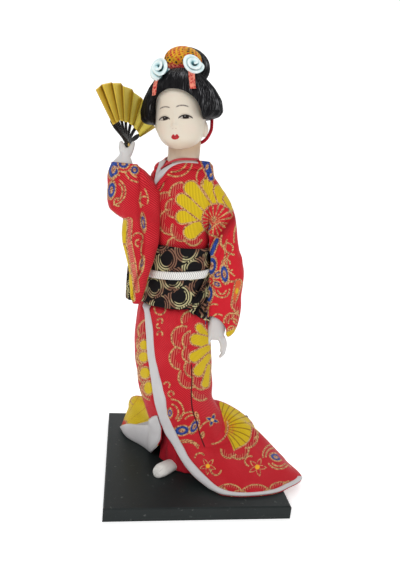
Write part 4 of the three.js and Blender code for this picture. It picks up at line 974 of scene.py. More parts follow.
SLEEVE_EDGE = Track([(0, 113), (30, 109), (90, 108), (150, 110), (180, 113), (205, 111), (218, 112),
                     (228, 118), (245, 120.5), (262, 119), (275, 114), (285, 108), (300, 106.5),
                     (320, 107), (340, 110), (360, 113)])


def sleeve_grid(form, z, turn):
    half = (form(z, 1) - form(z, 0)) / 2
    middle = (form(z, 1) + form(z, 0)) / 2
    x = middle + half * rounded(np.cos(turn), 2.4)
    y = form(z, 2) + form(z, 3) * rounded(np.sin(turn), 2.4)
    return np.stack(np.broadcast_arrays(x, y, z), -1)


def press(grid, rows, depth, width):
    """Pushes a crease into the front of a grid along a line of height and x."""
    line = Track(rows)
    amount = depth * bump(grid[..., 0], line(grid[..., 2]), width)
    amount *= (grid[..., 2] > line.at[0]) & (grid[..., 2] < line.at[-1])
    middle = grid[..., 1].mean(1, keepdims=True)
    grid[..., 1] += amount * smooth(0, 3, middle - grid[..., 1])


def build_raised_sleeve():
    grid = sleeve_grid(RAISED_SLEEVE, np.linspace(213.4, 126.3, 130)[:, None], around(130)[None, :])
    z = grid[..., 2]
    press(grid, [(128, -49.5), (143, -47.7), (155, -45.4), (169, -45.8), (181, -47.8), (193, -49.3),
                 (211, -50.7)],
          2.2, 1.1)
    press(grid, [(140, -53), (165, -55.5), (184, -60), (190, -62)], 0.8, 1.6)
    soft = ripple(grid, 17, 3) * 0.45 + ripple(grid, 7, 5) * 0.12
    normal = grid_normals(grid, True)
    grid += normal * soft[..., None] * smooth(0, 0.2, np.abs(z - 126))[..., None]
    return shell("sleeve_raised", grid, 0.6, brocade_sleeve_raised, wrap=True, cloth=arc_cloth(grid))


def build_hanging_sleeve():
    share = np.linspace(0, 1, 150)[:, None]
    turn = around(200)[None, :]
    z = 219.4 + (SLEEVE_EDGE(np.degrees(turn)) - 219.4) * share
    grid = sleeve_grid(HANGING_SLEEVE, z, turn)
    flap = smooth(0.1, 0.8, -np.sin(turn)) * smooth(0.35, -0.6, np.cos(turn)) * smooth(186, 176, z)
    grid[..., 0] -= 4.3 * flap
    press(grid, [(156, -4.6), (164, -3.6), (176, 2.2), (190, 10.4), (194, 11.6)], 3.4, 2.2)
    press(grid, [(157, 2.4), (168, 6.5), (178, 8.8)], 1.2, 1.2)
    press(grid, [(120, -0.2), (140, 0.2), (156, 0.6), (170, 2)], 1.5, 1.3)
    soft = ripple(grid, 19, 8) * 0.4 + ripple(grid, 8, 2) * 0.12
    grid += grid_normals(grid, True) * soft[..., None]
    return shell("sleeve_hanging", grid, 0.6, brocade_sleeve_hanging, wrap=True, cloth=arc_cloth(grid))


# Sash, its braided cord, its gathered end and its bow
CORD_HEIGHT = 146.9


def cord_line(angle):
    """Height of the cord's middle round the leaning sash."""
    return CORD_HEIGHT + 1.9 * np.cos(angle)


def build_sash():
    share = np.linspace(0, 1, 46)[:, None]
    degrees = np.linspace(-270, 90, 220, endpoint=False)[None, :] * np.ones((46, 1))
    angle = np.radians(degrees)
    low = WAIST_LOW + 0.6 + 1.8 * np.maximum(np.cos(angle), 0)
    z = WAIST_HIGH + (low - WAIST_HIGH) * share
    roll = 0.55 * bump(z, WAIST_HIGH - 0.5, 1.6) + 0.5 * bump(z, low + 0.4, 1.6)
    soft = 0.28 * np.sin(angle * 4 + z * 0.2) + 0.2 * np.sin(z * 0.55 + 2 * np.sin(angle * 2))
    press_in = -0.9 * bump(z, cord_line(angle), 3.4)
    grid = robe_points(degrees, z, 2.4 + roll + soft + press_in)
    cloth = arc_cloth(grid)
    cloth[..., 0] = np.radians(degrees + 90) * 21
    cloth[..., 1] = z
    return shell("sash_wrap", grid, 1.2, sash_cloth, wrap=True, cloth=cloth)


def build_sash_cord():
    """Flat braid round the sash: the herring-bone of its strands raised on a rounded band."""
    count = 900
    degrees = np.linspace(0, 360, count, endpoint=False)[:, None]
    u = np.linspace(-1, 1, 15)[None, :]
    run = np.radians(degrees) * 22
    strands = 0.5 + 0.5 * np.cos(TAU * (run / 1.5 + np.abs(u) * 0.9))
    z = cord_line(np.radians(degrees)) + u * 2.5
    crown = 2.75 + 0.75 * np.sqrt(1 - 0.92 * u ** 2) + 0.24 * strands
    top = robe_points(degrees + 0 * u, z, crown)
    base = robe_points(degrees + 0 * u, z, 2.0)
    rows = np.concatenate([top, base[:, ::-1]], 1)
    points = rows.transpose(1, 0, 2)
    cloth = np.stack(np.broadcast_arrays(run + 0 * u, u * 2.5, strands), -1)
    cloth = np.concatenate([cloth, cloth[:, ::-1]], 1).transpose(1, 0, 2)
    faces = grid_faces(points.shape[0] + 1, count, True) % (points.shape[0] * count)
    flat_points = points.reshape(-1, 3)
    return make_piece("sash_cord", flat_points, turn_out(flat_points, [faces]), braid, cloth.reshape(-1, 3))


def build_sash_tail():
    """Gathered end of the sash at the hip, its pleats spreading downward to a ragged lower edge."""
    top = 155.5
    foot = 118
    rows = Track([(foot, -66, -7, 1.5), (132, -55, -9, 1.2), (145, -39, -13, 0.7), (155, -27, -16, 0.3)])
    u = np.linspace(0, 1, 120)[None, :]
    share = np.linspace(0, 1, 60)[:, None]
    low = foot + 6 - 14 * u + 0.9 * np.cos(u * 41)
    z = top + (low - top) * share
    at = top + (foot - top) * share + 0 * u
    degrees = rows(at, 0) * (1 - u) + rows(at, 1) * u
    pleat = rows(at, 2) * (np.cos(u * 43 + 2.2 * share) + 0.35 * np.cos(u * 71 - 3 * share))
    sash = robe_radius(degrees, 150 + 0 * z) + 4.4
    skirt = robe_radius(degrees, np.minimum(z, 123.0)) + 1.6
    blend = smooth(132, 122, z)
    radius = sash * (1 - blend) + np.maximum(skirt, sash - 2) * blend + pleat
    grid = about_robe(degrees, z, radius)
    cloth = np.stack([u * 34 + 0 * z, z + 0 * u, 0 * z + 0 * u], -1)
    return shell("sash_tail", grid, 0.6, sash_cloth, cloth=cloth, outward=(-22, 2, 140))


def oval(count, half_x, half_y, power=2):
    """The two coordinates of a closed rounded outline."""
    t = around(count)
    return half_x * rounded(np.cos(t), power), half_y * rounded(np.sin(t), power)


def level_ring(count, half_x, half_y, centre, power=2):
    x, y = oval(count, half_x, half_y, power)
    return np.stack([centre[0] + x, centre[1] + y, 0 * x + centre[2]], -1)


def limb(name, table, ends, steps, count, power, material):
    """Upright limb between two heights, from rows of height, middle and half widths."""
    rows = Track(table)
    rings = [level_ring(count, rows(z, 2), rows(z, 3), (rows(z, 0), rows(z, 1), z), power)
             for z in np.linspace(*ends, steps)]
    return loft(name, np.array(rings), material)


def ball_rings(centre, halves, steps, count, swell):
    """Rings of a ball of the given half sizes, its width changing by a function of the turn and the rise."""
    rise = (np.arange(1, steps) / steps - 0.5)[:, None] * math.pi
    t = around(count)[None, :]
    size = np.cos(rise) * swell(t, rise)
    spread = (halves[0] * size * np.cos(t), halves[1] * size * np.sin(t), halves[2] * np.sin(rise))
    return np.array(centre) + np.stack(np.broadcast_arrays(*spread), -1)


def build_bow():
    """Bow at the back: two padded loops that hang outward and a knot between them."""
    turn = math.radians(18)

    def place(side, back, z):
        x = -15.5 + side * math.cos(turn) + back * math.sin(turn)
        y = 22 - side * math.sin(turn) + back * math.cos(turn)
        return np.stack(np.broadcast_arrays(x, y, z), -1)

    wing = Track([(0, 9, 3.4, 144), (5, 11.5, 4.6, 143.6), (12, 15.6, 5.6, 141.6), (20, 18.6, 6.2, 139.4),
                  (31, 19.2, 6.0, 135), (37, 17.2, 4.6, 131.4), (40, 13.4, 3.2, 128.6)])
    pieces = []
    for name, sign in (("bow_loop_left", -1), ("bow_loop_right", 1)):
        rings = []
        for side in np.linspace(0, 40, 60):
            pucker = 1 + 0.10 * math.exp(-side / 7)
            folds = 0.9 * math.exp(-side / 12) * np.cos(9 * around(90))
            x, y = oval(90, wing(side, 1), wing(side, 0), 3)
            rings.append(place(sign * side, x * pucker + 4 + folds * 0.6, wing(side, 2) + y + folds * 0.4))
        rings = np.array(rings)
        pieces.append(loft(name, rings, sash_cloth, arc_cloth(rings)))
    rings = []
    for side in np.linspace(-6.2, 6.2, 26):
        round_off = math.sqrt(max(1 - (side / 7.2) ** 4, 0.05))
        x, y = oval(70, 7.4 * round_off, 12.2 * round_off, 3)
        rings.append(place(side, x + 3.8, 144 + y))
    rings = np.array(rings)
    pieces.append(loft("bow_knot", rings, sash_cloth, arc_cloth(rings)))
    return pieces


def build_under_robe():
    rows = Track([(FLOOR + 0.5, -7.8, -11.2, 18.6, 9.8), (15, -8.7, -10, 16.6, 9.6),
                  (22, -9.8, -8.6, 15, 9.6), (30, -11, -7, 13.6, 9.8), (42, -13, -5, 12, 9.6)])
    turn = math.radians(-51)
    levels = np.linspace(42, FLOOR + 0.5, 60)[:, None]
    t = around(160)[None, :]
    folds = 0.05 * np.cos(6 * t + 0.1 * levels) + 0.03 * np.cos(13 * t - 0.2 * levels)
    wave = 1 + folds * smooth(42, 14, levels)
    a = rows(levels, 2) * wave * np.cos(t)
    b = rows(levels, 3) * wave * np.sin(t)
    x = rows(levels, 0) + a * math.cos(turn) - b * math.sin(turn)
    y = rows(levels, 1) + a * math.sin(turn) + b * math.cos(turn)
    grid = np.stack(np.broadcast_arrays(x, y, levels), -1)
    return shell("under_skirt", grid, 0.6, red_cloth, wrap=True, cloth=arc_cloth(grid))


def build_foot():
    rows = Track([(-1, 4, 4.6), (5, 4.8, 5.4), (12, 5.4, 6.4), (18, 5.6, 6.6), (22, 4.6, 5.4),
                  (23.6, 3.2, 4.2), (24.4, 1.2, 2.2)])
    along = np.array([-0.76, -0.65, 0])
    across = np.array([0.65, -0.76, 0])
    heel = np.array([-8.0, -12.8, FLOOR - 0.1])
    rings = []
    t = around(64)
    for d in np.concatenate([np.linspace(-1, 20, 40), np.linspace(20.4, 24.4, 24)]):
        up = np.maximum(np.sin(t), -0.72) + 0.72
        half = rows(d, 0)
        tall = rows(d, 1)
        split = 0.9 * smooth(15, 22, d) * bump(np.cos(t), 0.35, 0.13) * (np.sin(t) > 0)
        side = half * np.cos(t)
        rings.append(heel + d * along + side[:, None] * across
                     + np.array([0, 0, 1]) * (up / 1.72 * tall - split)[:, None])
    rings = np.array(rings)
    return loft("sock_foot", rings, sock, arc_cloth(rings))


def tube_rings(path, radii, sides):
    """Rings of a tapering tube through the given points, smoothed between them."""
    path = np.array(path, float)
    at = np.arange(len(path))
    fine = np.linspace(0, len(path) - 1, (len(path) - 1) * 8 + 1)
    track = Track(np.column_stack([at, path, radii]))
    centre = np.stack([track(fine, k) for k in range(3)], -1)
    radius = track(fine, 3)
    along = np.gradient(centre, axis=0)
    along /= np.linalg.norm(along, axis=1, keepdims=True)
    side = np.cross(along, [0.3, 1, 0.2])
    side /= np.linalg.norm(side, axis=1, keepdims=True)
    other = np.cross(along, side)
    t = around(sides)
    return (centre[:, None] + radius[:, None, None] * (np.cos(t)[None, :, None] * side[:, None]
            + np.sin(t)[None, :, None] * other[:, None]))


def fused(name, parts, material, voxel=0.42, rounds=6):
    """Several closed lofts grown together into one smooth body."""
    verts = []
    faces = []
    for part in parts:
        mesh = part.data
        shift = len(verts)
        verts += [v.co[:] for v in mesh.vertices]
        faces += [[i + shift for i in p.vertices] for p in mesh.polygons]
        bpy.data.objects.remove(part)
    mesh = bpy.data.meshes.new(name)
    mesh.from_pydata(verts, [], faces)
    mesh.materials.append(material)
    piece = bpy.data.objects.new(name, mesh)
    bpy.context.scene.collection.objects.link(piece)
    bpy.context.view_layer.objects.active = piece
    remesh = piece.modifiers.new("grow", "REMESH")
    remesh.mode = "VOXEL"
    remesh.voxel_size = voxel * MM
    remesh.use_smooth_shade = True
    relax = piece.modifiers.new("relax", "SMOOTH")
    relax.iterations = rounds
    relax.factor = 0.5
    for step in (remesh.name, relax.name):
        bpy.ops.object.modifier_apply(modifier=step)
    return piece


def fingers(paths):
    """Tapering fingers, each from its path and its radii."""
    return [loft("finger", tube_rings(path, radii, 18), hand_skin) for path, radii in paths]


def build_raised_hand():
    palm = limb("palm", [
        (208.5, -60.8, -5.2, 6.6, 5.2), (213.4, -60.8, -5.2, 6.1, 4.8), (215.5, -60.5, -4.9, 4.9, 3.8),
        (218, -60, -4.3, 3.4, 2.8), (220, -59.7, -3.6, 3.1, 2.4), (221.6, -59.5, -3, 3.0, 2.0),
        (222.6, -59.4, -2.8, 2.2, 1.2)], (208.5, 222.6), 40, 40, 2.1, hand_skin)
    return fused("hand_raised", [palm] + fingers([
        ([(-60.6, -3.4, 218.6), (-61.8, -3.2, 222.4), (-62.8, -2.6, 226.2)], [2.4, 2.2, 1.0]),
        ([(-58, -3.4, 218.6), (-56.4, -1.2, 222.6), (-54.9, 1.6, 226.6)], [2.3, 2.0, 1.0])]), hand_skin)


def build_hanging_hand():
    arm = limb("arm", [
        (102.8, 8, -10.4, 3, 1.4), (104.6, 8.2, -10.2, 5, 2.2), (108, 8.4, -10, 6.0, 2.8),
        (112.5, 8.6, -9.6, 6.2, 3.4), (118, 8.6, -9, 5.8, 4.2), (125, 8.8, -8, 5, 4.4),
        (131, 8.6, -7.4, 5.2, 4.6)], (131, 102.8), 50, 44, 2.3, hand_skin)
    return fused("hand_hanging", [arm] + fingers([
        ([(10.4, -10, 107), (13.4, -10.6, 104), (15.2, -11, 99), (14.6, -11.4, 94), (12.2, -11.8, 90.4)],
         [2.0, 1.9, 1.65, 1.45, 0.8]),
        ([(9, -10.6, 106), (12, -11.8, 102.6), (13.2, -12.4, 98), (12.4, -12.8, 94.6)], [1.8, 1.5, 1.2, 0.7]),
        ([(5, -10.6, 107), (4, -11.2, 102.6), (3.6, -11.8, 98.6)], [1.9, 1.4, 0.7])]), hand_skin)


# Head: an egg with a small relief of features, turned and leaning
HEAD_AT = (-27, -2, 244)
HEAD_TURN = math.radians(21)
HEAD_LEAN = math.tan(math.radians(5.8))
HEAD_FORM = Track([
    (225, 3.8, 3.6, 10.4), (226.6, 7.6, 7, 8), (230, 11.7, 11, 5), (235, 14.5, 13.8, 2.4),
    (240, 15.5, 15.4, 0.9), (246, 15.4, 16.4, 0.2), (253, 15.4, 16.6, 0), (260, 13.6, 14.8, 0),
    (265, 10.2, 11.4, 0), (268.4, 4.6, 5.4, 0)])
FACE_ROLL = 0.125


def head_place(side, forward, z):
    lean = HEAD_LEAN * (HEAD_AT[2] - z)
    return np.stack(np.broadcast_arrays(
        HEAD_AT[0] + side * math.cos(HEAD_TURN) - forward * math.sin(HEAD_TURN) + lean,
        HEAD_AT[1] - side * math.sin(HEAD_TURN) - forward * math.cos(HEAD_TURN),
        z), -1)


def face_relief(side, z):
    h = z - FACE_ROLL * side

    def mound(s, high, wide, tall):
        return np.exp(-((side - s) / wide) ** 2 - ((h - high) / tall) ** 2)

    nose = 1.25 * mound(0.2, 237.8, 1.5, 1.8) + 0.7 * mound(0.1, 241, 1.3, 3.2)
    nose = nose + 0.2 * mound(-1.4, 237.1, 0.7, 0.8) + 0.2 * mound(1.8, 237.1, 0.7, 0.8)
    lips = 0.5 * mound(0.5, 232.0, 2.3, 0.8) + 0.55 * mound(0.5, 230.5, 1.8, 0.8)
    lips = lips - 0.22 * mound(0.5, 231.35, 2.5, 0.22)
    sockets = -0.4 * mound(-6.6, 243.8, 3.8, 2.4) - 0.4 * mound(6.6, 243.8, 3.8, 2.4)
    lids = 0.22 * mound(-6.6, 242.4, 3.2, 1.2) + 0.22 * mound(6.6, 242.4, 3.2, 1.2)
    chin = 0.35 * mound(0.4, 228, 3.4, 2.2)
    cheeks = 0.35 * mound(-8, 236, 4.4, 4.4) + 0.35 * mound(8, 236, 4.4, 4.4)
    return nose + lips + sockets + lids + chin + cheeks


def build_head():
    levels = np.concatenate([np.linspace(268.4, 258, 16), np.linspace(257.4, 226.4, 110),
                             np.linspace(226.1, 225, 5)])
    t = around(200)[None, :]
    z = levels[:, None]
    s = np.sin(t)
    side = HEAD_FORM(z, 0) * rounded(np.cos(t), 2.15)
    ahead = HEAD_FORM(z, 2) - HEAD_FORM(z, 1) * rounded(s, 2.15)
    ahead = ahead + np.where(s < 0, face_relief(side, z + 0 * t), 0)
    grid = head_place(side, ahead, z + 0 * t)
    local = np.stack([side, z - FACE_ROLL * side, ahead], -1)
    parts = [loft("head_face", grid, face_paint, local)]
    parts.append(limb("head_neck", [
        (211, -23, 2.6, 11.2, 11.2), (216, -22.9, 2.3, 10.4, 10.4), (222, -22.8, 1.8, 10.1, 10.1),
        (229, -23.1, 1.4, 10.4, 10.4), (238, -24.4, 1, 11, 11)], (211, 238), 30, 60, 2, neck_skin))
    for name, sign in (("head_ear_left", 1), ("head_ear_right", -1)):
        rings = []
        for k in range(1, 24):
            a = -math.pi / 2 + math.pi * k / 24
            centre = head_place(sign * (14.6 - 0.35 * math.cos(a)), -0.6, 238.6 + 4.9 * math.sin(a))
            rings.append(level_ring(30, 2.9 * math.cos(a), 3.6 * math.cos(a), centre))
        parts.append(loft(name, np.array(rings), ear_skin))
    return parts


# Hair
WIG_AT = (-26.6, 1, 248)
WIG_TILT = math.tan(math.radians(11))
WIG_FORM = Track([
    (241.8, 18.4, 15.6, 2.3), (242.5, 21.6, 19, 2.3), (243.5, 23.4, 21, 2.3), (246, 24.8, 23.2, 2.3),
    (250, 24.5, 23.6, 2.3), (256, 22.4, 22.4, 2.2), (262, 18.6, 20, 2.1), (267, 14.4, 16.6, 2),
    (270.6, 10, 12, 2), (272.6, 4.6, 6, 2)])


def wig_points(angle, z, grow=0.0):
    angle, z = np.broadcast_arrays(np.asarray(angle, float), np.asarray(z, float))
    a = WIG_FORM(z, 0) + grow
    b = WIG_FORM(z, 1) + grow
    n = WIG_FORM(z, 2)
    c = np.cos(angle)
    s = np.sin(angle)
    r = (np.abs(c / a) ** n + np.abs(s / b) ** n) ** (-1 / n)
    x = WIG_AT[0] + r * c - WIG_TILT * (z - WIG_AT[2])
    return np.stack([x, WIG_AT[1] + r * s, z + WIG_TILT * r * c], -1)


def build_wig():
    """Swept hair: a body of combed strands, cut open over the face."""
    levels = np.concatenate([np.linspace(272.6, 262, 34), np.linspace(261.6, 241.8, 84)])
    angle = np.linspace(-math.pi / 2, 1.5 * math.pi, 360, endpoint=False)[None, :]
    z = levels[:, None] + 0 * angle
    strands = 0.16 * np.cos(angle * 170 + 1.4 * np.sin(z * 0.4)) + 0.12 * np.cos(angle * 97 + z * 0.15)
    locks = 0.35 * np.cos(angle * 21 + 0.8 * np.sin(z * 0.22))
    grid = wig_points(angle + 0 * z, z, strands + locks * smooth(272, 262, z))
    body = loft("hair_sweep", grid, hair_strands)
    outline = []
    for k in range(41):
        t = math.pi * k / 40
        outline.append((0.5 + 14.6 * math.cos(t), 245.8 + 11.9 * math.sin(t)))
    outline += [(-14.9, 228), (15.6, 228)]
    rings = []
    for forward in (1.0, 6.0, 14.0, 26.0, 60.0):
        spread = 1 + 0.05 * (forward - 1) / 10
        rings.append([head_place(side * spread, forward, 247 + (z - 247) * spread) for side, z in outline])
    tunnel = loft("hair_cut", np.array(rings), hair_strands)
    bpy.context.view_layer.objects.active = body
    cut = body.modifiers.new("face", "BOOLEAN")
    cut.operation = "DIFFERENCE"
    cut.solver = "EXACT"
    cut.object = tunnel
    bpy.ops.object.modifier_apply(modifier=cut.name)
    bpy.data.objects.remove(tunnel)
    return body


def build_bun():
    rings = ball_rings((-25.4, 7.6, 275.2), (14.8, 12.6, 11.6), 60, 200,
                       lambda t, a: 1 + 0.012 * np.cos(t * 61 + 1.5 * a) + 0.01 * np.cos(t * 23))
    return loft("hair_knot", rings, hair_strands)


def build_bun_cloth():
    def gathers(t, a):
        return 1 + (0.02 * np.cos(t * 7 + 3 * a) + 0.012 * np.cos(t * 15 - 4 * a)) * np.cos(a)

    rings = ball_rings((-28, 2.6, 276.2), (12.2, 11.6, 9.6), 70, 160, gathers)
    return loft("knot_cloth", rings, spotted_cloth, arc_cloth(rings))


def build_rose(name, at, facing, radius, depth, seed, squash=1.0):
    """Ribbon rose: a satin band in a widening spiral, each turn lower and rolled outward at its lip."""
    facing = np.array(facing) / np.linalg.norm(facing)
    side = np.cross(facing, [0.2, 0.1, 1])
    side /= np.linalg.norm(side)
    other = np.cross(facing, side)
    t = np.linspace(0, 1, 260)[:, None]
    u = np.linspace(0, 1, 20)[None, :]
    angle = TAU * 2.5 * t + seed
    swell = 1 + 0.08 * np.sin(angle * 1.5 + seed) + 0.06 * np.sin(angle * 2.3)
    tuck = smooth(0.82, 1, t)
    mouth = radius * (0.02 + 0.72 * t ** 0.85) * swell * (1 - 0.42 * tuck)
    lip = radius * (0.18 + 0.20 * t) * swell * (1 - 0.4 * tuck)
    bend = np.clip((u - 0.35) / 0.65, 0, 1) * math.pi * 0.80
    close = 0.85 * (1 - np.clip(u / 0.35, 0, 1)) * (1 - smooth(0.08, 0.34, t))
    r = mouth * (1 - close) + lip * (1 - np.cos(bend)) * 0.62
    top = depth * (0.62 - 0.80 * t ** 1.3 - 0.7 * tuck) + 0.3 * np.sin(angle * 2 + seed)
    foot = -depth * (0.9 - 0.8 * (1 - smooth(0.08, 0.34, t)))
    height = foot + (top - foot) * np.clip(u / 0.35, 0, 1) + lip * 0.55 * np.sin(bend)
    round_about = np.cos(angle)[..., None] * side + squash * np.sin(angle)[..., None] * other
    grid = np.array(at) + r[..., None] * round_about + height[..., None] * facing
    cloth = np.stack(np.broadcast_arrays(angle * radius * 0.5, u, t), -1)
    return shell(name, grid, 0.4, rose_satin, cloth=cloth)


RIBBON_NEAR = [(270.6, -69, -50), (268, -75, -59), (265.2, -78.5, -66), (261.5, -80, -70), (258, -81, -72)]
RIBBON_FAR = [(265.6, -151, -139.5), (261, -146.6, -136), (256.8, -140, -133.5)]


def build_ribbon(name, rows, waves):
    track = Track(rows[::-1])
    z = np.linspace(rows[0][0], rows[-1][0], 50)[:, None]
    u = np.linspace(0, 1, 16)[None, :]
    angle = np.radians(track(z, 0) * (1 - u) + track(z, 1) * u)
    lift = 0.75 + 0.28 * np.sin(u * math.pi * waves + z * 0.5) + 0 * z
    grid = wig_points(angle, z, lift)
    return shell(name, grid, 0.35, crepe, cloth=arc_cloth(grid), inner=wig_points(angle, z, lift - 0.35))


def build_ear_cord():
    """Short cord from the hair behind the ear to the nape, held at both ends."""
    path = [(-6.8, 3.6, 247), (-6.7, 1.4, 240.6), (-8.2, 1.4, 235.4), (-11.0, 2.6, 231.6),
            (-15.4, 5.6, 229.4)]
    rings = tube_rings(path, [1.05] * len(path), 16)
    return loft("cord_ear", rings, red_cloth, arc_cloth(rings))


# Fan: folded gold leaf on black ribs
FAN_PIVOT = np.array([-58.8, 0, 224.3])
FAN_UP = np.array([-0.162, 0.134, 0.978])
FAN_UP /= np.linalg.norm(FAN_UP)
FAN_SIDE = np.array([0.635, 0.772, 0.0])
FAN_SIDE /= np.linalg.norm(FAN_SIDE)
FAN_NORMAL = np.cross(FAN_UP, FAN_SIDE)
FAN_NORMAL /= np.linalg.norm(FAN_NORMAL)
FAN_REACH = 37.4
FOLD_LINES = [
    (-44.6, 39.0, -57.0, 18.2, -1), (-31.8, 37.6, -42.1, 15.8, 1), (-33.8, 38.4, -44.7, 16.4, -1),
    (-14.0, 37.2, -24.6, 15.1, 1), (-17.2, 36.4, -26.9, 15.4, -1), (1.3, 37.7, -4.2, 14.3, 1),
    (-0.5, 35.2, -7.1, 13.8, -1), (18.9, 38.4, 17.1, 15.2, 1), (17.9, 35.2, 16.7, 14.2, -1),
    (33.9, 39.6, 37.0, 16.7, 1), (33.1, 37.2, 36.5, 15.3, -1), (48.2, 39.8, 53.1, 18.0, 1),
    (48.6, 37.8, 56.2, 17.2, -1), (63.4, 38.6, 66.8, 19.2, 1), (66.2, 36.9, 67.6, 17.1, -1)]
RIB_TURNS = (-51, -44, -37, -29.5, -13.5, 6, 27, 46, 63.5)


def fan_rise(degrees):
    """Height of the fan's stack over its middle plane, lowest at the near left rib."""
    return (np.asarray(degrees, float) - 10) / 112 * 4.2


def fan_points(degrees, radius, height):
    degrees, radius, height = np.broadcast_arrays(degrees, radius, height)
    t = np.radians(degrees)
    return (FAN_PIVOT + (radius * np.cos(t))[..., None] * FAN_UP + (radius * np.sin(t))[..., None] * FAN_SIDE
            + height[..., None] * FAN_NORMAL)


def build_fan_leaf():
    """Folded leaf: broad faces toward the front, each followed by a narrow one that turns back."""
    lines = np.array(FOLD_LINES, float)
    count = len(lines)
    steps = np.tile(np.linspace(0, 0.999, 7), count - 1)
    share = np.append(np.repeat(np.arange(count - 1), 7) + steps, count - 1)
    part = np.linspace(0, 1, 26)[None, :]
    rows = []
    for at, reach in ((2, 3), (0, 1)):
        turn = np.radians(lines[:, at])
        along = np.interp(share, np.arange(count), lines[:, reach] * np.cos(turn))
        across = np.interp(share, np.arange(count), lines[:, reach] * np.sin(turn))
        rows.append((along[:, None], across[:, None]))
    along = rows[0][0] * (1 - part) + rows[1][0] * part
    across = rows[0][1] * (1 - part) + rows[1][1] * part
    radius = np.hypot(along, across)
    degrees = np.degrees(np.arctan2(across, along))
    fold = np.interp(share, np.arange(count), lines[:, 4])[:, None]
    height = fan_rise(degrees) + fold * 1.1 * radius / FAN_REACH
    share = share[:, None] + 0 * part
    cloth = np.stack([share, radius, np.floor(share) % 2], -1)
    return shell("fan_paper", fan_points(degrees, radius, height), 0.25, gold_paper, cloth=cloth,
                 inner=fan_points(degrees, radius, height + 0.25))


def build_fan_ribs():
    """Nine flat tapering ribs, stacked at the pivot and running up behind the leaf."""
    ribs = []
    for k, degrees in enumerate(RIB_TURNS):
        wide = 1.5 if k in (0, 8) else 1.15
        tip = 20 if k in (0, 8) else 26
        form = Track([(-1.9, 0.2), (-1.5, 1.3), (0, 1.9), (3.5, 1.7), (8, 1.2), (15, wide), (tip - 1, 0.8),
                      (tip, 0.5)])
        along = np.concatenate([np.linspace(-1.9, 0, 10), np.linspace(0.4, tip, 40)])[:, None]
        across = form(along, 0) * np.linspace(-1, 1, 5)[None, :]
        radius = np.hypot(along, across)
        turn = np.degrees(np.arctan2(across, along)) + degrees
        spread = smooth(0, 14, along)
        base = (k - 4) * 0.34 * (1 - spread) + (fan_rise(degrees) + 0.75) * spread + 0 * across
        ribs.append(shell("fan_stick_" + str(k + 1), fan_points(turn, radius, base - 0.15), 0.3, lacquer,
                          inner=fan_points(turn, radius, base + 0.15)))
    return ribs


def build_pivot():
    """Domed brass pin through the ribs, set along the line of sight of the fan's front."""
    heights = np.array([2.2, 2.0, 1.6, -1.7, -2.0, -2.3, -2.5])
    radii = np.array([0.5, 1.0, 1.15, 1.2, 1.1, 0.8, 0.3])
    t = around(36)[None, :]
    lean = heights[:, None] * 0.3
    rings = (FAN_PIVOT + (radii[:, None] * np.cos(t) - 0.2)[..., None] * FAN_UP
             + (radii[:, None] * np.sin(t) + lean)[..., None] * FAN_SIDE
             + (heights[:, None] + 0 * t)[..., None] * FAN_NORMAL)
    return loft("pivot_pin", rings, brass)


INNER_COLLAR = [
    (-37, -3.8, 211.4), (-34.8, -5.2, 213.8), (-31.6, -6.4, 216), (-28.2, -7.8, 217.6), (-23.6, -9, 218.5),
    (-17.4, -7, 219), (-13.4, -1.4, 219.3), (-13.2, 4.6, 219.4), (-17.4, 10.6, 219.5), (-23.6, 12.6, 219.5),
    (-30, 10.8, 219.1), (-34, 5.6, 218), (-35.8, 1, 216), (-37, -1.6, 213.4)]


def build_inner_collar():
    """Thin folded band round the neck, its width leaning inwards."""
    line = np.array(INNER_COLLAR)
    count = len(line)
    at = np.arange(-2, count + 3)
    track = Track(np.column_stack([at, line[at % count]]))
    t = np.linspace(0, count, 200, endpoint=False)
    points = np.stack([track(t, k) for k in range(3)], -1)
    inward = np.array([-23.6, 1.8, 0]) - points
    inward[:, 2] = 0
    inward /= np.linalg.norm(inward, axis=1, keepdims=True)
    rise = inward * 0.5 + np.array([0, 0, 0.87])
    out = inward * -0.87 + np.array([0, 0, 0.5])
    reach = np.linspace(0, 1.7, 9)
    crown = 0.55 + 0.3 * np.sin(reach / 1.7 * math.pi)
    top = points[None] + reach[:, None, None] * rise[None] + crown[:, None, None] * out[None]
    base = points[None] + reach[:, None, None] * rise[None]
    cloth = np.stack(np.broadcast_arrays(t[None, :] * 4, reach[:, None], 0), -1)
    return shell("collar_inner", top, 0.6, red_edge, wrap=True, cloth=cloth, inner=base)


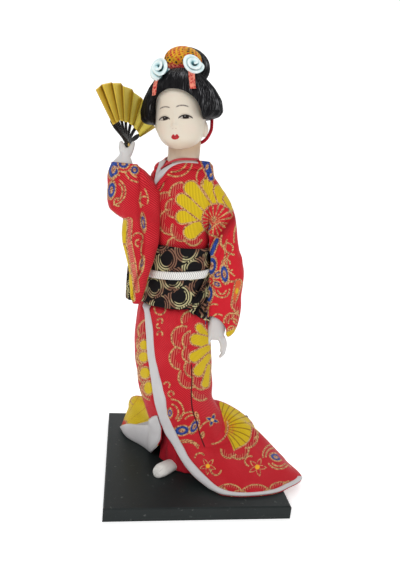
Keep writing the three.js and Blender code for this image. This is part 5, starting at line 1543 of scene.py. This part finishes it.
# Finishes
def sash_finish():
    """Black brocade: overlapping rounds of thin double lines in cream and maroon, woven in broken floats."""
    paint = Paint("sash brocade", (0.012, 0.010, 0.010), roughness=0.70, level=0.08)
    cloth = paint.cloth()
    u, v, _ = paint.parts(cloth)
    floats = paint.noise(paint.scaled(cloth, (1.1, 2.6, 1.0)), 1.3, 2)
    colour = paint.mix((0.007, 0.006, 0.007), (0.022, 0.014, 0.014), floats.step(0.35, 0.7))
    wide = 16.0
    tall = 13.0
    a = u * 0.88 + v * 0.47
    b = v * 0.88 - u * 0.47
    for row in range(2):
        x = ((a / wide + (0.5 * row)).fract() - 0.5) * wide
        y = ((b / tall + (0.5 * row + 0.13)).fract() - 0.62) * tall
        r = (x * x + y * y).root()
        cover = r.step(8.7, 8.4) * y.step(-7.2, -6.8)
        broken = paint.noise(paint.scaled(cloth, (0.16, 0.16, 1.0)), 1.0, 1).step(0.46, 0.56)
        colour = paint.mix(colour, (0.008, 0.007, 0.008), cover)
        tone = paint.noise(paint.scaled(cloth, (0.09, 0.09, 1.0)), 1.0, 1).step(0.44, 0.54)
        ink = paint.mix(CREAM, MAROON, tone * 0.8)
        for radius, width in ((7.9, 0.46), (6.3, 0.42), (4.7, 0.30)):
            ring = (r - radius).abs().step(width + 0.18, width - 0.14)
            shown = ring * cover * (floats.step(0.30, 0.44) * 0.75 + 0.2)
            colour = paint.mix(colour, ink, shown if radius > 5 else shown * broken)
    thread = (u * (TAU / 0.62)).sin() * 0.5 + 0.5
    colour = paint.shade(colour, thread * 0.25 + floats * 0.5 + 0.62)
    return paint.done(colour, thread * 0.5 + floats * 0.5, 0.2, 0.8)


def braid_finish():
    paint = Paint("white braid", (0.78, 0.77, 0.73), roughness=0.55, sheen=0.2, level=0.35)
    cloth = paint.cloth()
    _, _, strand = paint.parts(cloth)
    fibre = paint.noise(cloth, 3.0, 2)
    # painted shade: the strands lighter on their crowns and darker in the grooves between them
    light = strand.step(0.0, 0.55) * 0.5 + fibre * 0.2 + 0.42
    return paint.done(paint.shade((0.80, 0.79, 0.76), light), fibre, 0.06, 0.5)


def hair_finish():
    """Black combed hair: fine strands, with painted glints of pale light gathered in soft bands and where the
    surface faces the light.
    """
    paint = Paint("combed hair", (0.006, 0.006, 0.007), roughness=0.45, level=0.08)
    x, y, z = paint.parts(paint.place())
    cloth = paint.node("ShaderNodeCombineXYZ", {0: (x + 26).over((y - 2) * -1) * 24, 1: z}).outputs[0]
    strand = paint.noise(paint.scaled(cloth, (2.6, 0.16, 1.0)), 1.0, 2)
    lock = paint.noise(paint.scaled(cloth, (1.2, 0.12, 1.0)), 1.0, 2)
    normal = paint.surface("Normal")
    # painted highlights: glints where the surface faces the light, over the brow and at the side
    glint_over_brow = paint.dot(normal, (-0.10, -0.55, 0.83)).step(0.90, 0.97)
    glint_beside = paint.dot(normal, (0.60, -0.74, 0.30)).step(0.88, 0.97)
    band = paint.noise(paint.place(), 0.085, 2).step(0.42, 0.62)
    colour = paint.mix((0.002, 0.002, 0.003), (0.012, 0.011, 0.012), strand.step(0.35, 0.7))
    glint = strand.step(0.50, 0.66) * (band * 0.25 + glint_over_brow + glint_beside).least(1.0)
    glint = glint * (lock.step(0.35, 0.6) * 0.6 + 0.4)
    return paint.done(paint.mix(colour, (0.24, 0.24, 0.25), glint), strand, 0.25, 0.8)


def rose_finish():
    """Pale blue satin, painted whitest on the rolled lips as a highlight and a deeper blue between the turns
    as painted shade.
    """
    paint = Paint("rose satin", (0.60, 0.82, 0.86), roughness=0.38, sheen=0.1, level=0.35)
    _, v, _ = paint.parts(paint.cloth())
    soft = paint.noise(paint.place(), 0.3, 2)
    # painted shade deeper blue between the turns, painted highlight whiter on the rolled lips
    colour = paint.mix((0.22, 0.50, 0.56), (0.62, 0.84, 0.86), v.step(0.25, 0.6))
    colour = paint.mix(colour, (0.84, 0.93, 0.93), v.step(0.55, 0.85) * (soft.step(0.3, 0.6) * 0.6 + 0.4))
    return paint.done(paint.shade(colour, soft * 0.2 + 0.86), soft, 0.3, 0.4)


def crepe_finish():
    paint = Paint("coral crepe", (0.62, 0.06, 0.06), roughness=0.72, sheen=0.05, level=0.15)
    place = paint.place()
    cells = paint.cells(place, 0.75)
    soft = paint.noise(place, 0.5, 3)
    colour = paint.mix((0.50, 0.02, 0.02), (0.80, 0.26, 0.18), (soft + cells * 0.35).step(0.45, 0.80))
    return paint.done(colour, cells, 0.35, 0.9)


def spotted_finish():
    """Amber tie-dyed cloth: raised dots, some red and some black, in slanting rows."""
    paint = Paint("spotted cloth", (0.62, 0.27, 0.01), roughness=0.6, sheen=0.04, level=0.15)
    u, v, _ = paint.parts(paint.cloth())
    slant = u * 0.5 + v * 0.5
    other = u * 0.5 - v * 0.5
    x = (slant / 1.45).fract() - 0.5
    y = (other / 1.45).fract() - 0.5
    r = (x * x + y * y).root()
    kind = paint.noise(paint.place(), 0.22, 2)
    soft = paint.noise(paint.place(), 0.13, 2)
    colour = paint.mix((0.50, 0.19, 0.005), (0.78, 0.42, 0.02), soft.step(0.35, 0.65))
    colour = paint.mix(colour, (0.52, 0.02, 0.02), r.step(0.48, 0.30) * kind.step(0.54, 0.47))
    colour = paint.mix(colour, (0.02, 0.012, 0.01), r.step(0.40, 0.24) * kind.step(0.52, 0.58))
    _, _, z = paint.parts(paint.place())
    gather = paint.noise(paint.place(), 0.9, 2).step(0.35, 0.6)
    rim = paint.mix((0.48, 0.02, 0.02), (0.80, 0.20, 0.15), gather)
    colour = paint.mix(colour, rim, (z + gather * 1.6).step(275.2, 273.6))
    return paint.done(colour, r.step(0.45, 0.1), 0.3, 0.8)


def gold_finish():
    """Gilt paper: each broad face its own tone, painted lighter from left to right as light falls on it, the
    narrow faces and the fold lines in painted shade.
    """
    paint = Paint("gold leaf", (0.72, 0.50, 0.06), roughness=0.42, metallic=0.45, level=0.2)
    share, _, face = paint.parts(paint.cloth())
    grain = paint.noise(paint.place(), 1.4, 3)
    # painted light: the faces lighter from left to right
    tone = (share * 0.055 + 0.12).least(0.85)
    colour = paint.mix((0.74, 0.42, 0.03), (1.0, 0.84, 0.11), (tone + grain * 0.4).least(1.0))
    # painted shade on the narrow faces
    colour = paint.mix(colour, (0.26, 0.14, 0.015), face.step(0.4, 0.6) * 0.8)
    # painted shade along the fold lines
    edge = (share.fract() - 0.5).abs().step(0.44, 0.5)
    colour = paint.mix(colour, (0.22, 0.11, 0.02), edge * 0.5)
    return paint.done(colour, grain, 0.05, 0.5, roughness=grain * 0.2 + 0.35)


def plinth_finish():
    paint = Paint("plinth paint", (0.014, 0.018, 0.018), roughness=0.45, level=0.18)
    place = paint.place()
    dust = paint.cells(place, 0.24).step(0.34, 0.12) * paint.noise(place, 0.6, 2).step(0.55, 0.68)
    soft = paint.noise(place, 0.03, 3)
    colour = paint.mix((0.010, 0.013, 0.013), (0.019, 0.024, 0.024), soft)
    colour = paint.mix(colour, (0.22, 0.23, 0.22), dust * 0.25)
    return paint.done(colour, paint.noise(place, 0.5, 3), 0.08, 0.5, roughness=soft * 0.16 + 0.36)


def lacquer_finish():
    paint = Paint("rib lacquer", (0.010, 0.009, 0.009), roughness=0.3, coat=0.1, level=0.2)
    place = paint.place()
    soft = paint.noise(place, 0.4, 2)
    colour = paint.mix((0.006, 0.006, 0.006), (0.022, 0.018, 0.016), soft)
    return paint.done(colour, roughness=soft * 0.2 + 0.16)


def brass_finish():
    paint = Paint("pivot brass", (0.62, 0.40, 0.12), roughness=0.3, metallic=1.0, level=0.5)
    soft = paint.noise(paint.place(), 0.9, 2)
    return paint.done(paint.mix((0.50, 0.30, 0.08), (0.75, 0.52, 0.20), soft), roughness=soft * 0.25 + 0.18)


def face_finish():
    """Painted face: brows, eyes with dark lash lines and small red lips on smooth white."""
    paint = skin("painted face")
    local = paint.cloth()
    side, h, ahead = paint.parts(local)
    tone = paint.noise(paint.place(), 0.07, 3)
    colour = paint.mix((0.66, 0.57, 0.46), (0.75, 0.68, 0.57), tone)
    front = ahead.step(6, 9)
    # painted shade under the chin
    colour = paint.mix(colour, (0.48, 0.34, 0.22), h.step(231, 226.2) * 0.45)
    # cheeks
    for centre in (-8.6, 8.6):
        x = (side - centre) / 4.5
        y = (h - 236) / 4.0
        colour = paint.mix(colour, (0.78, 0.55, 0.46), (x * x + y * y).step(1.2, 0.0) * 0.16 * front)
    for centre in (-6.6, 6.6):
        x = (side - centre) / 3.5
        y = h - (241.9 if centre < 0 else 242.2)
        # upper lid, a soft shadow line above the eye
        arch = (x * x) * -1 + 1
        lid = (y - (arch * 1.5 + 0.75)).abs().step(0.42, 0.12) * x.abs().step(1.2, 0.95)
        colour = paint.mix(colour, (0.42, 0.33, 0.27), lid * 0.38 * front)
        top = arch * 1.28
        low = arch * -0.80
        opening = (y - top).step(0.1, -0.1) * (y - low).step(-0.1, 0.1) * x.abs().step(1.02, 0.96)
        colour = paint.mix(colour, (0.50, 0.45, 0.40), opening * front)
        eye_x = side - (centre + (1.0 if centre < 0 else 0.25))
        eye_y = y - 0.28
        r = (eye_x * eye_x + eye_y * eye_y).root()
        iris = r.step(1.95, 1.65) * opening
        colour = paint.mix(colour, (0.012, 0.006, 0.004), iris * front)
        glint_x = eye_x + 0.4
        glint_y = eye_y - 0.45
        glint = (glint_x * glint_x + glint_y * glint_y).root().step(0.3, 0.18)
        colour = paint.mix(colour, (0.7, 0.7, 0.7), glint * front * 0.8)
        lash = (y - (top + 0.02)).abs().step(0.58, 0.28) * x.abs().step(1.22, 1.04)
        colour = paint.mix(colour, (0.018, 0.012, 0.010), lash * front)
        lower = (y - (low - 0.02)).abs().step(0.2, 0.08) * x.abs().step(1.0, 0.9)
        colour = paint.mix(colour, (0.16, 0.10, 0.08), lower * front * 0.7)
    for sign in (-1, 1):
        x = (side - (4.9 if sign > 0 else -6.0)) / 3.8
        y = h - (248.5 if sign > 0 else 248.3)
        curve = y - ((x * x) * -0.9 + 0.35)
        brow = curve.abs().step(0.60, 0.14) * x.abs().step(1.05, 0.75)
        strokes = paint.noise(paint.scaled(local, (5.0, 1.2, 0.1)), 1.0, 1).step(0.25, 0.6)
        colour = paint.mix(colour, (0.12, 0.09, 0.08), brow * front * (strokes * 0.5 + 0.5))
    # lips: two small mounds over one, joined by a darker line
    x = (side - 0.5) / 2.85
    y = (h - 231.4) / 1.2
    bow = (x.abs() - 0.38) * 3.2
    upper = (y - ((bow * bow) * -0.55 + 1.25)).step(0.12, -0.12) * (y + 0.05).step(-0.1, 0.1)
    upper = upper * x.abs().step(1.0, 0.9)
    lower = (x * x + (y * y) / 2.3).step(0.82, 0.68) * y.step(0.1, -0.1)
    lips = (upper + lower).least(1.0)
    colour = paint.mix(colour, (0.46, 0.012, 0.018), lips * front)
    line = y.abs().step(0.2, 0.05) * x.abs().step(1.0, 0.8)
    colour = paint.mix(colour, (0.16, 0.004, 0.006), line * front * 0.8)
    # nostrils: small spots of painted shade
    for centre in (-0.85, 1.15):
        x = (side - centre) / 0.55
        y = (h - 236.1) / 0.32
        colour = paint.mix(colour, (0.36, 0.20, 0.14), (x * x + y * y).step(1.1, 0.4) * front * 0.35)
    return paint.done(colour)


def neck_finish():
    """White skin, darker and warmer toward the top: painted shade where it runs up under the chin."""
    paint = skin("neck skin")
    _, _, z = paint.parts(paint.place())
    soft = paint.noise(paint.place(), 0.07, 3)
    # painted shade: darker toward the top, under the chin
    colour = paint.mix((0.70, 0.60, 0.49), (0.54, 0.38, 0.25), z.step(214, 229))
    return paint.done(paint.shade(colour, soft * 0.12 + 0.94))


def lined_satin(name, colour, edge, width):
    """Satin strip with a coloured edge on both sides."""
    paint = Paint(name, colour, roughness=0.45, sheen=0.2, level=0.4)
    cloth = paint.cloth()
    _, v, _ = paint.parts(cloth)
    fine = paint.noise(cloth, 1.5, 2)
    rim = v.step(width * 0.72, width * 0.9)
    return paint.done(paint.shade(paint.mix(colour, edge, rim), fine * 0.2 + 0.9), fine, 0.06, 0.5)


brocade_skirt = brocade("skirt brocade", draw_skirt)
brocade_bodice = brocade("bodice brocade", draw_chest)
brocade_sleeve_raised = brocade("raised sleeve brocade", draw_raised_sleeve)
brocade_sleeve_hanging = brocade("hanging sleeve brocade", draw_hanging_sleeve)
brocade_collar = brocade("collar brocade", draw_collar, slant=0.4)
sash_cloth = sash_finish()
braid = braid_finish()
white_satin = satin("white satin", (0.55, 0.535, 0.54))
red_cloth = plain_cloth("red cloth", (0.40, 0.008, 0.02))
sock = plain_cloth("white sock", (0.78, 0.76, 0.72))
red_edge = lined_satin("inner collar satin", (0.45, 0.02, 0.03), (0.80, 0.42, 0.42), 1.7)
hand_skin = skin("hand skin", (0.59, 0.57, 0.56)).material
neck_skin = neck_finish()
ear_skin = skin("ear skin", (0.66, 0.58, 0.48)).material
face_paint = face_finish()
hair_strands = hair_finish()
rose_satin = rose_finish()
crepe = crepe_finish()
spotted_cloth = spotted_finish()
gold_paper = gold_finish()
lacquer = lacquer_finish()
brass = brass_finish()

# Each piece with the node that it replaces and its slot; a sheet also with how it is held, its cut width
# in millimetres and the piece that it rests on
PIECES = [
    (build_skirt(), "kimono", "brocade", ("hung", 130, "kimono")),
    (build_bodice(), "kimono", "brocade", ("stretched", 55, "kimono")),
    (strip_on_robe("collar_robe", ROBE_COLLAR, 0.9, brocade_collar, steps=240, lift=0.45),
     "kimono", "brocade", ("folded", 12, "robe_bodice")),
    (strip_on_robe("band_front", FRONT_BAND, 1.1, white_satin, steps=300),
     "front_band", "satin", ("folded", 24, "robe_skirt")),
    (strip_on_robe("band_fold", FOLD_BAND, 1.2, white_satin, steps=160),
     "fold_band", "satin", ("folded", 30, "robe_skirt")),
    (strip_on_robe("collar_under", UNDER_COLLAR, 1.0, white_satin, steps=260),
     "under_collar", "satin", ("folded", 16, "robe_bodice")),
    (build_inner_collar(), "inner_collar", "red_silk", ("folded", 10, "head_neck")),
    (build_raised_sleeve(), "sleeve_right", "brocade", ("hung", 90, "hand_raised")),
    (build_hanging_sleeve(), "sleeve_left", "brocade", ("hung", 110, "hand_hanging")),
    (build_sash(), "obi", "sash", ("stretched", 42, "robe_bodice")),
    (build_sash_cord(), "obi_cord", "satin", None),
    (build_sash_tail(), "obi_tail", "sash", ("gathered", 40, "sash_wrap"))]
PIECES += [(piece, "obi_bow", "sash", None) for piece in build_bow()]
PIECES += [
    (build_under_robe(), "under_robe", "red_silk", ("hung", 34, "robe_skirt")),
    (build_foot(), "foot", "satin", None),
    (build_raised_hand(), "hand_right", "skin", None),
    (build_hanging_hand(), "hand_left", "skin", None)]
PIECES += [(piece, "head", "skin", None) for piece in build_head()]
PIECES += [
    (build_wig(), "wig", "hair", None),
    (build_bun(), "hair_bun", "hair", None),
    (build_bun_cloth(), "bun_cloth", "bun_cloth", None),
    (build_rose("rose_left", (-42.0, -8.4, 269.5), (-0.62, -0.75, 0.2), 6.7, 4.6, 0.4),
     "rosette_left", "rose", ("folded", 10, "hair_sweep")),
    (build_rose("rose_right", (-23.4, -11.4, 273.4), (-0.05, -0.95, 0.35), 6.7, 4.6, 2.1, 0.85),
     "rosette_right", "rose", ("folded", 10, "hair_sweep")),
    (build_ribbon("ribbon_near", RIBBON_NEAR, 2), "ribbon_right", "ribbon", ("laid", 10, "hair_sweep")),
    (build_ribbon("ribbon_far", RIBBON_FAR, 2), "ribbon_left", "ribbon", ("laid", 10, "hair_sweep")),
    (build_ear_cord(), "ear_cord", "red_silk", None),
    (build_fan_leaf(), "fan_leaf", "gold_paper", None)]
FAN_RIBS = [(rib, "fan_rib_" + str(k + 1), "lacquer", None) for k, rib in enumerate(build_fan_ribs())]
PIECES += [(build_pivot(), "fan_pivot", "brass", None)] + FAN_RIBS
for piece, node, slot_name, _ in PIECES:
    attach(piece, "root")
    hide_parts(node)

plinth = plinth_finish()
for holder in bpy.data.objects["base"].material_slots:
    holder.material = plinth


# Floor, walls and soft lights
def lamp(name, place, aim_height, size, watts):
    data = bpy.data.lights.new(name, "AREA")
    data.shape = "DISK"
    data.size = size
    data.energy = watts
    made = bpy.data.objects.new(name, data)
    place = Vector(place)
    made.location = place
    made.rotation_euler = (Vector((0, 0, aim_height)) - place).to_track_quat("-Z", "Y").to_euler()
    bpy.context.scene.collection.objects.link(made)


def make_studio():
    """Pale floor that curves up into a back wall, three soft lamps and even light all round, in metres."""
    paint = Paint("studio floor", (0.92, 0.92, 0.92), roughness=0.9, level=0.2)
    soft = paint.noise(paint.place(), 0.004, 2)
    paint.done(paint.shade((0.93, 0.93, 0.93), soft * 0.04 + 0.98))
    feed(paint.tree, paint.shader.inputs["Emission Color"], (1, 1, 1))
    feed(paint.tree, paint.shader.inputs["Emission Strength"], 0.40)
    mesh = bpy.data.meshes.new("floor")
    profile = [(-1.2, 0.0)] + [(0.9 + 0.5 * math.sin(a), 0.5 - 0.5 * math.cos(a))
                               for a in np.linspace(0, math.pi / 2, 24)] + [(1.4, 2.4)]
    verts = [(x, y, z) for y, z in profile for x in (-2.5, 2.5)]
    faces = [(2 * k, 2 * k + 1, 2 * k + 3, 2 * k + 2) for k in range(len(profile) - 1)]
    mesh.from_pydata(verts, [], faces)
    mesh.polygons.foreach_set("use_smooth", [True] * len(faces))
    mesh.materials.append(paint.material)
    floor = bpy.data.objects.new("floor", mesh)
    bpy.context.scene.collection.objects.link(floor)
    lamp("key", (-0.5, -0.75, 0.85), 0.14, 0.5, 4.5)
    lamp("fill", (0.8, -0.6, 0.5), 0.12, 0.7, 1.8)
    lamp("top", (0.0, 0.2, 1.2), 0.1, 0.9, 2.4)
    world = bpy.data.worlds.new("studio")
    bpy.context.scene.world = world
    world.use_nodes = True
    sky = world.node_tree.nodes["Background"]
    sky.inputs["Color"].default_value = (1, 1, 1, 1)
    sky.inputs["Strength"].default_value = 0.44


make_studio()
bpy.context.scene.view_settings.view_transform = "Standard"
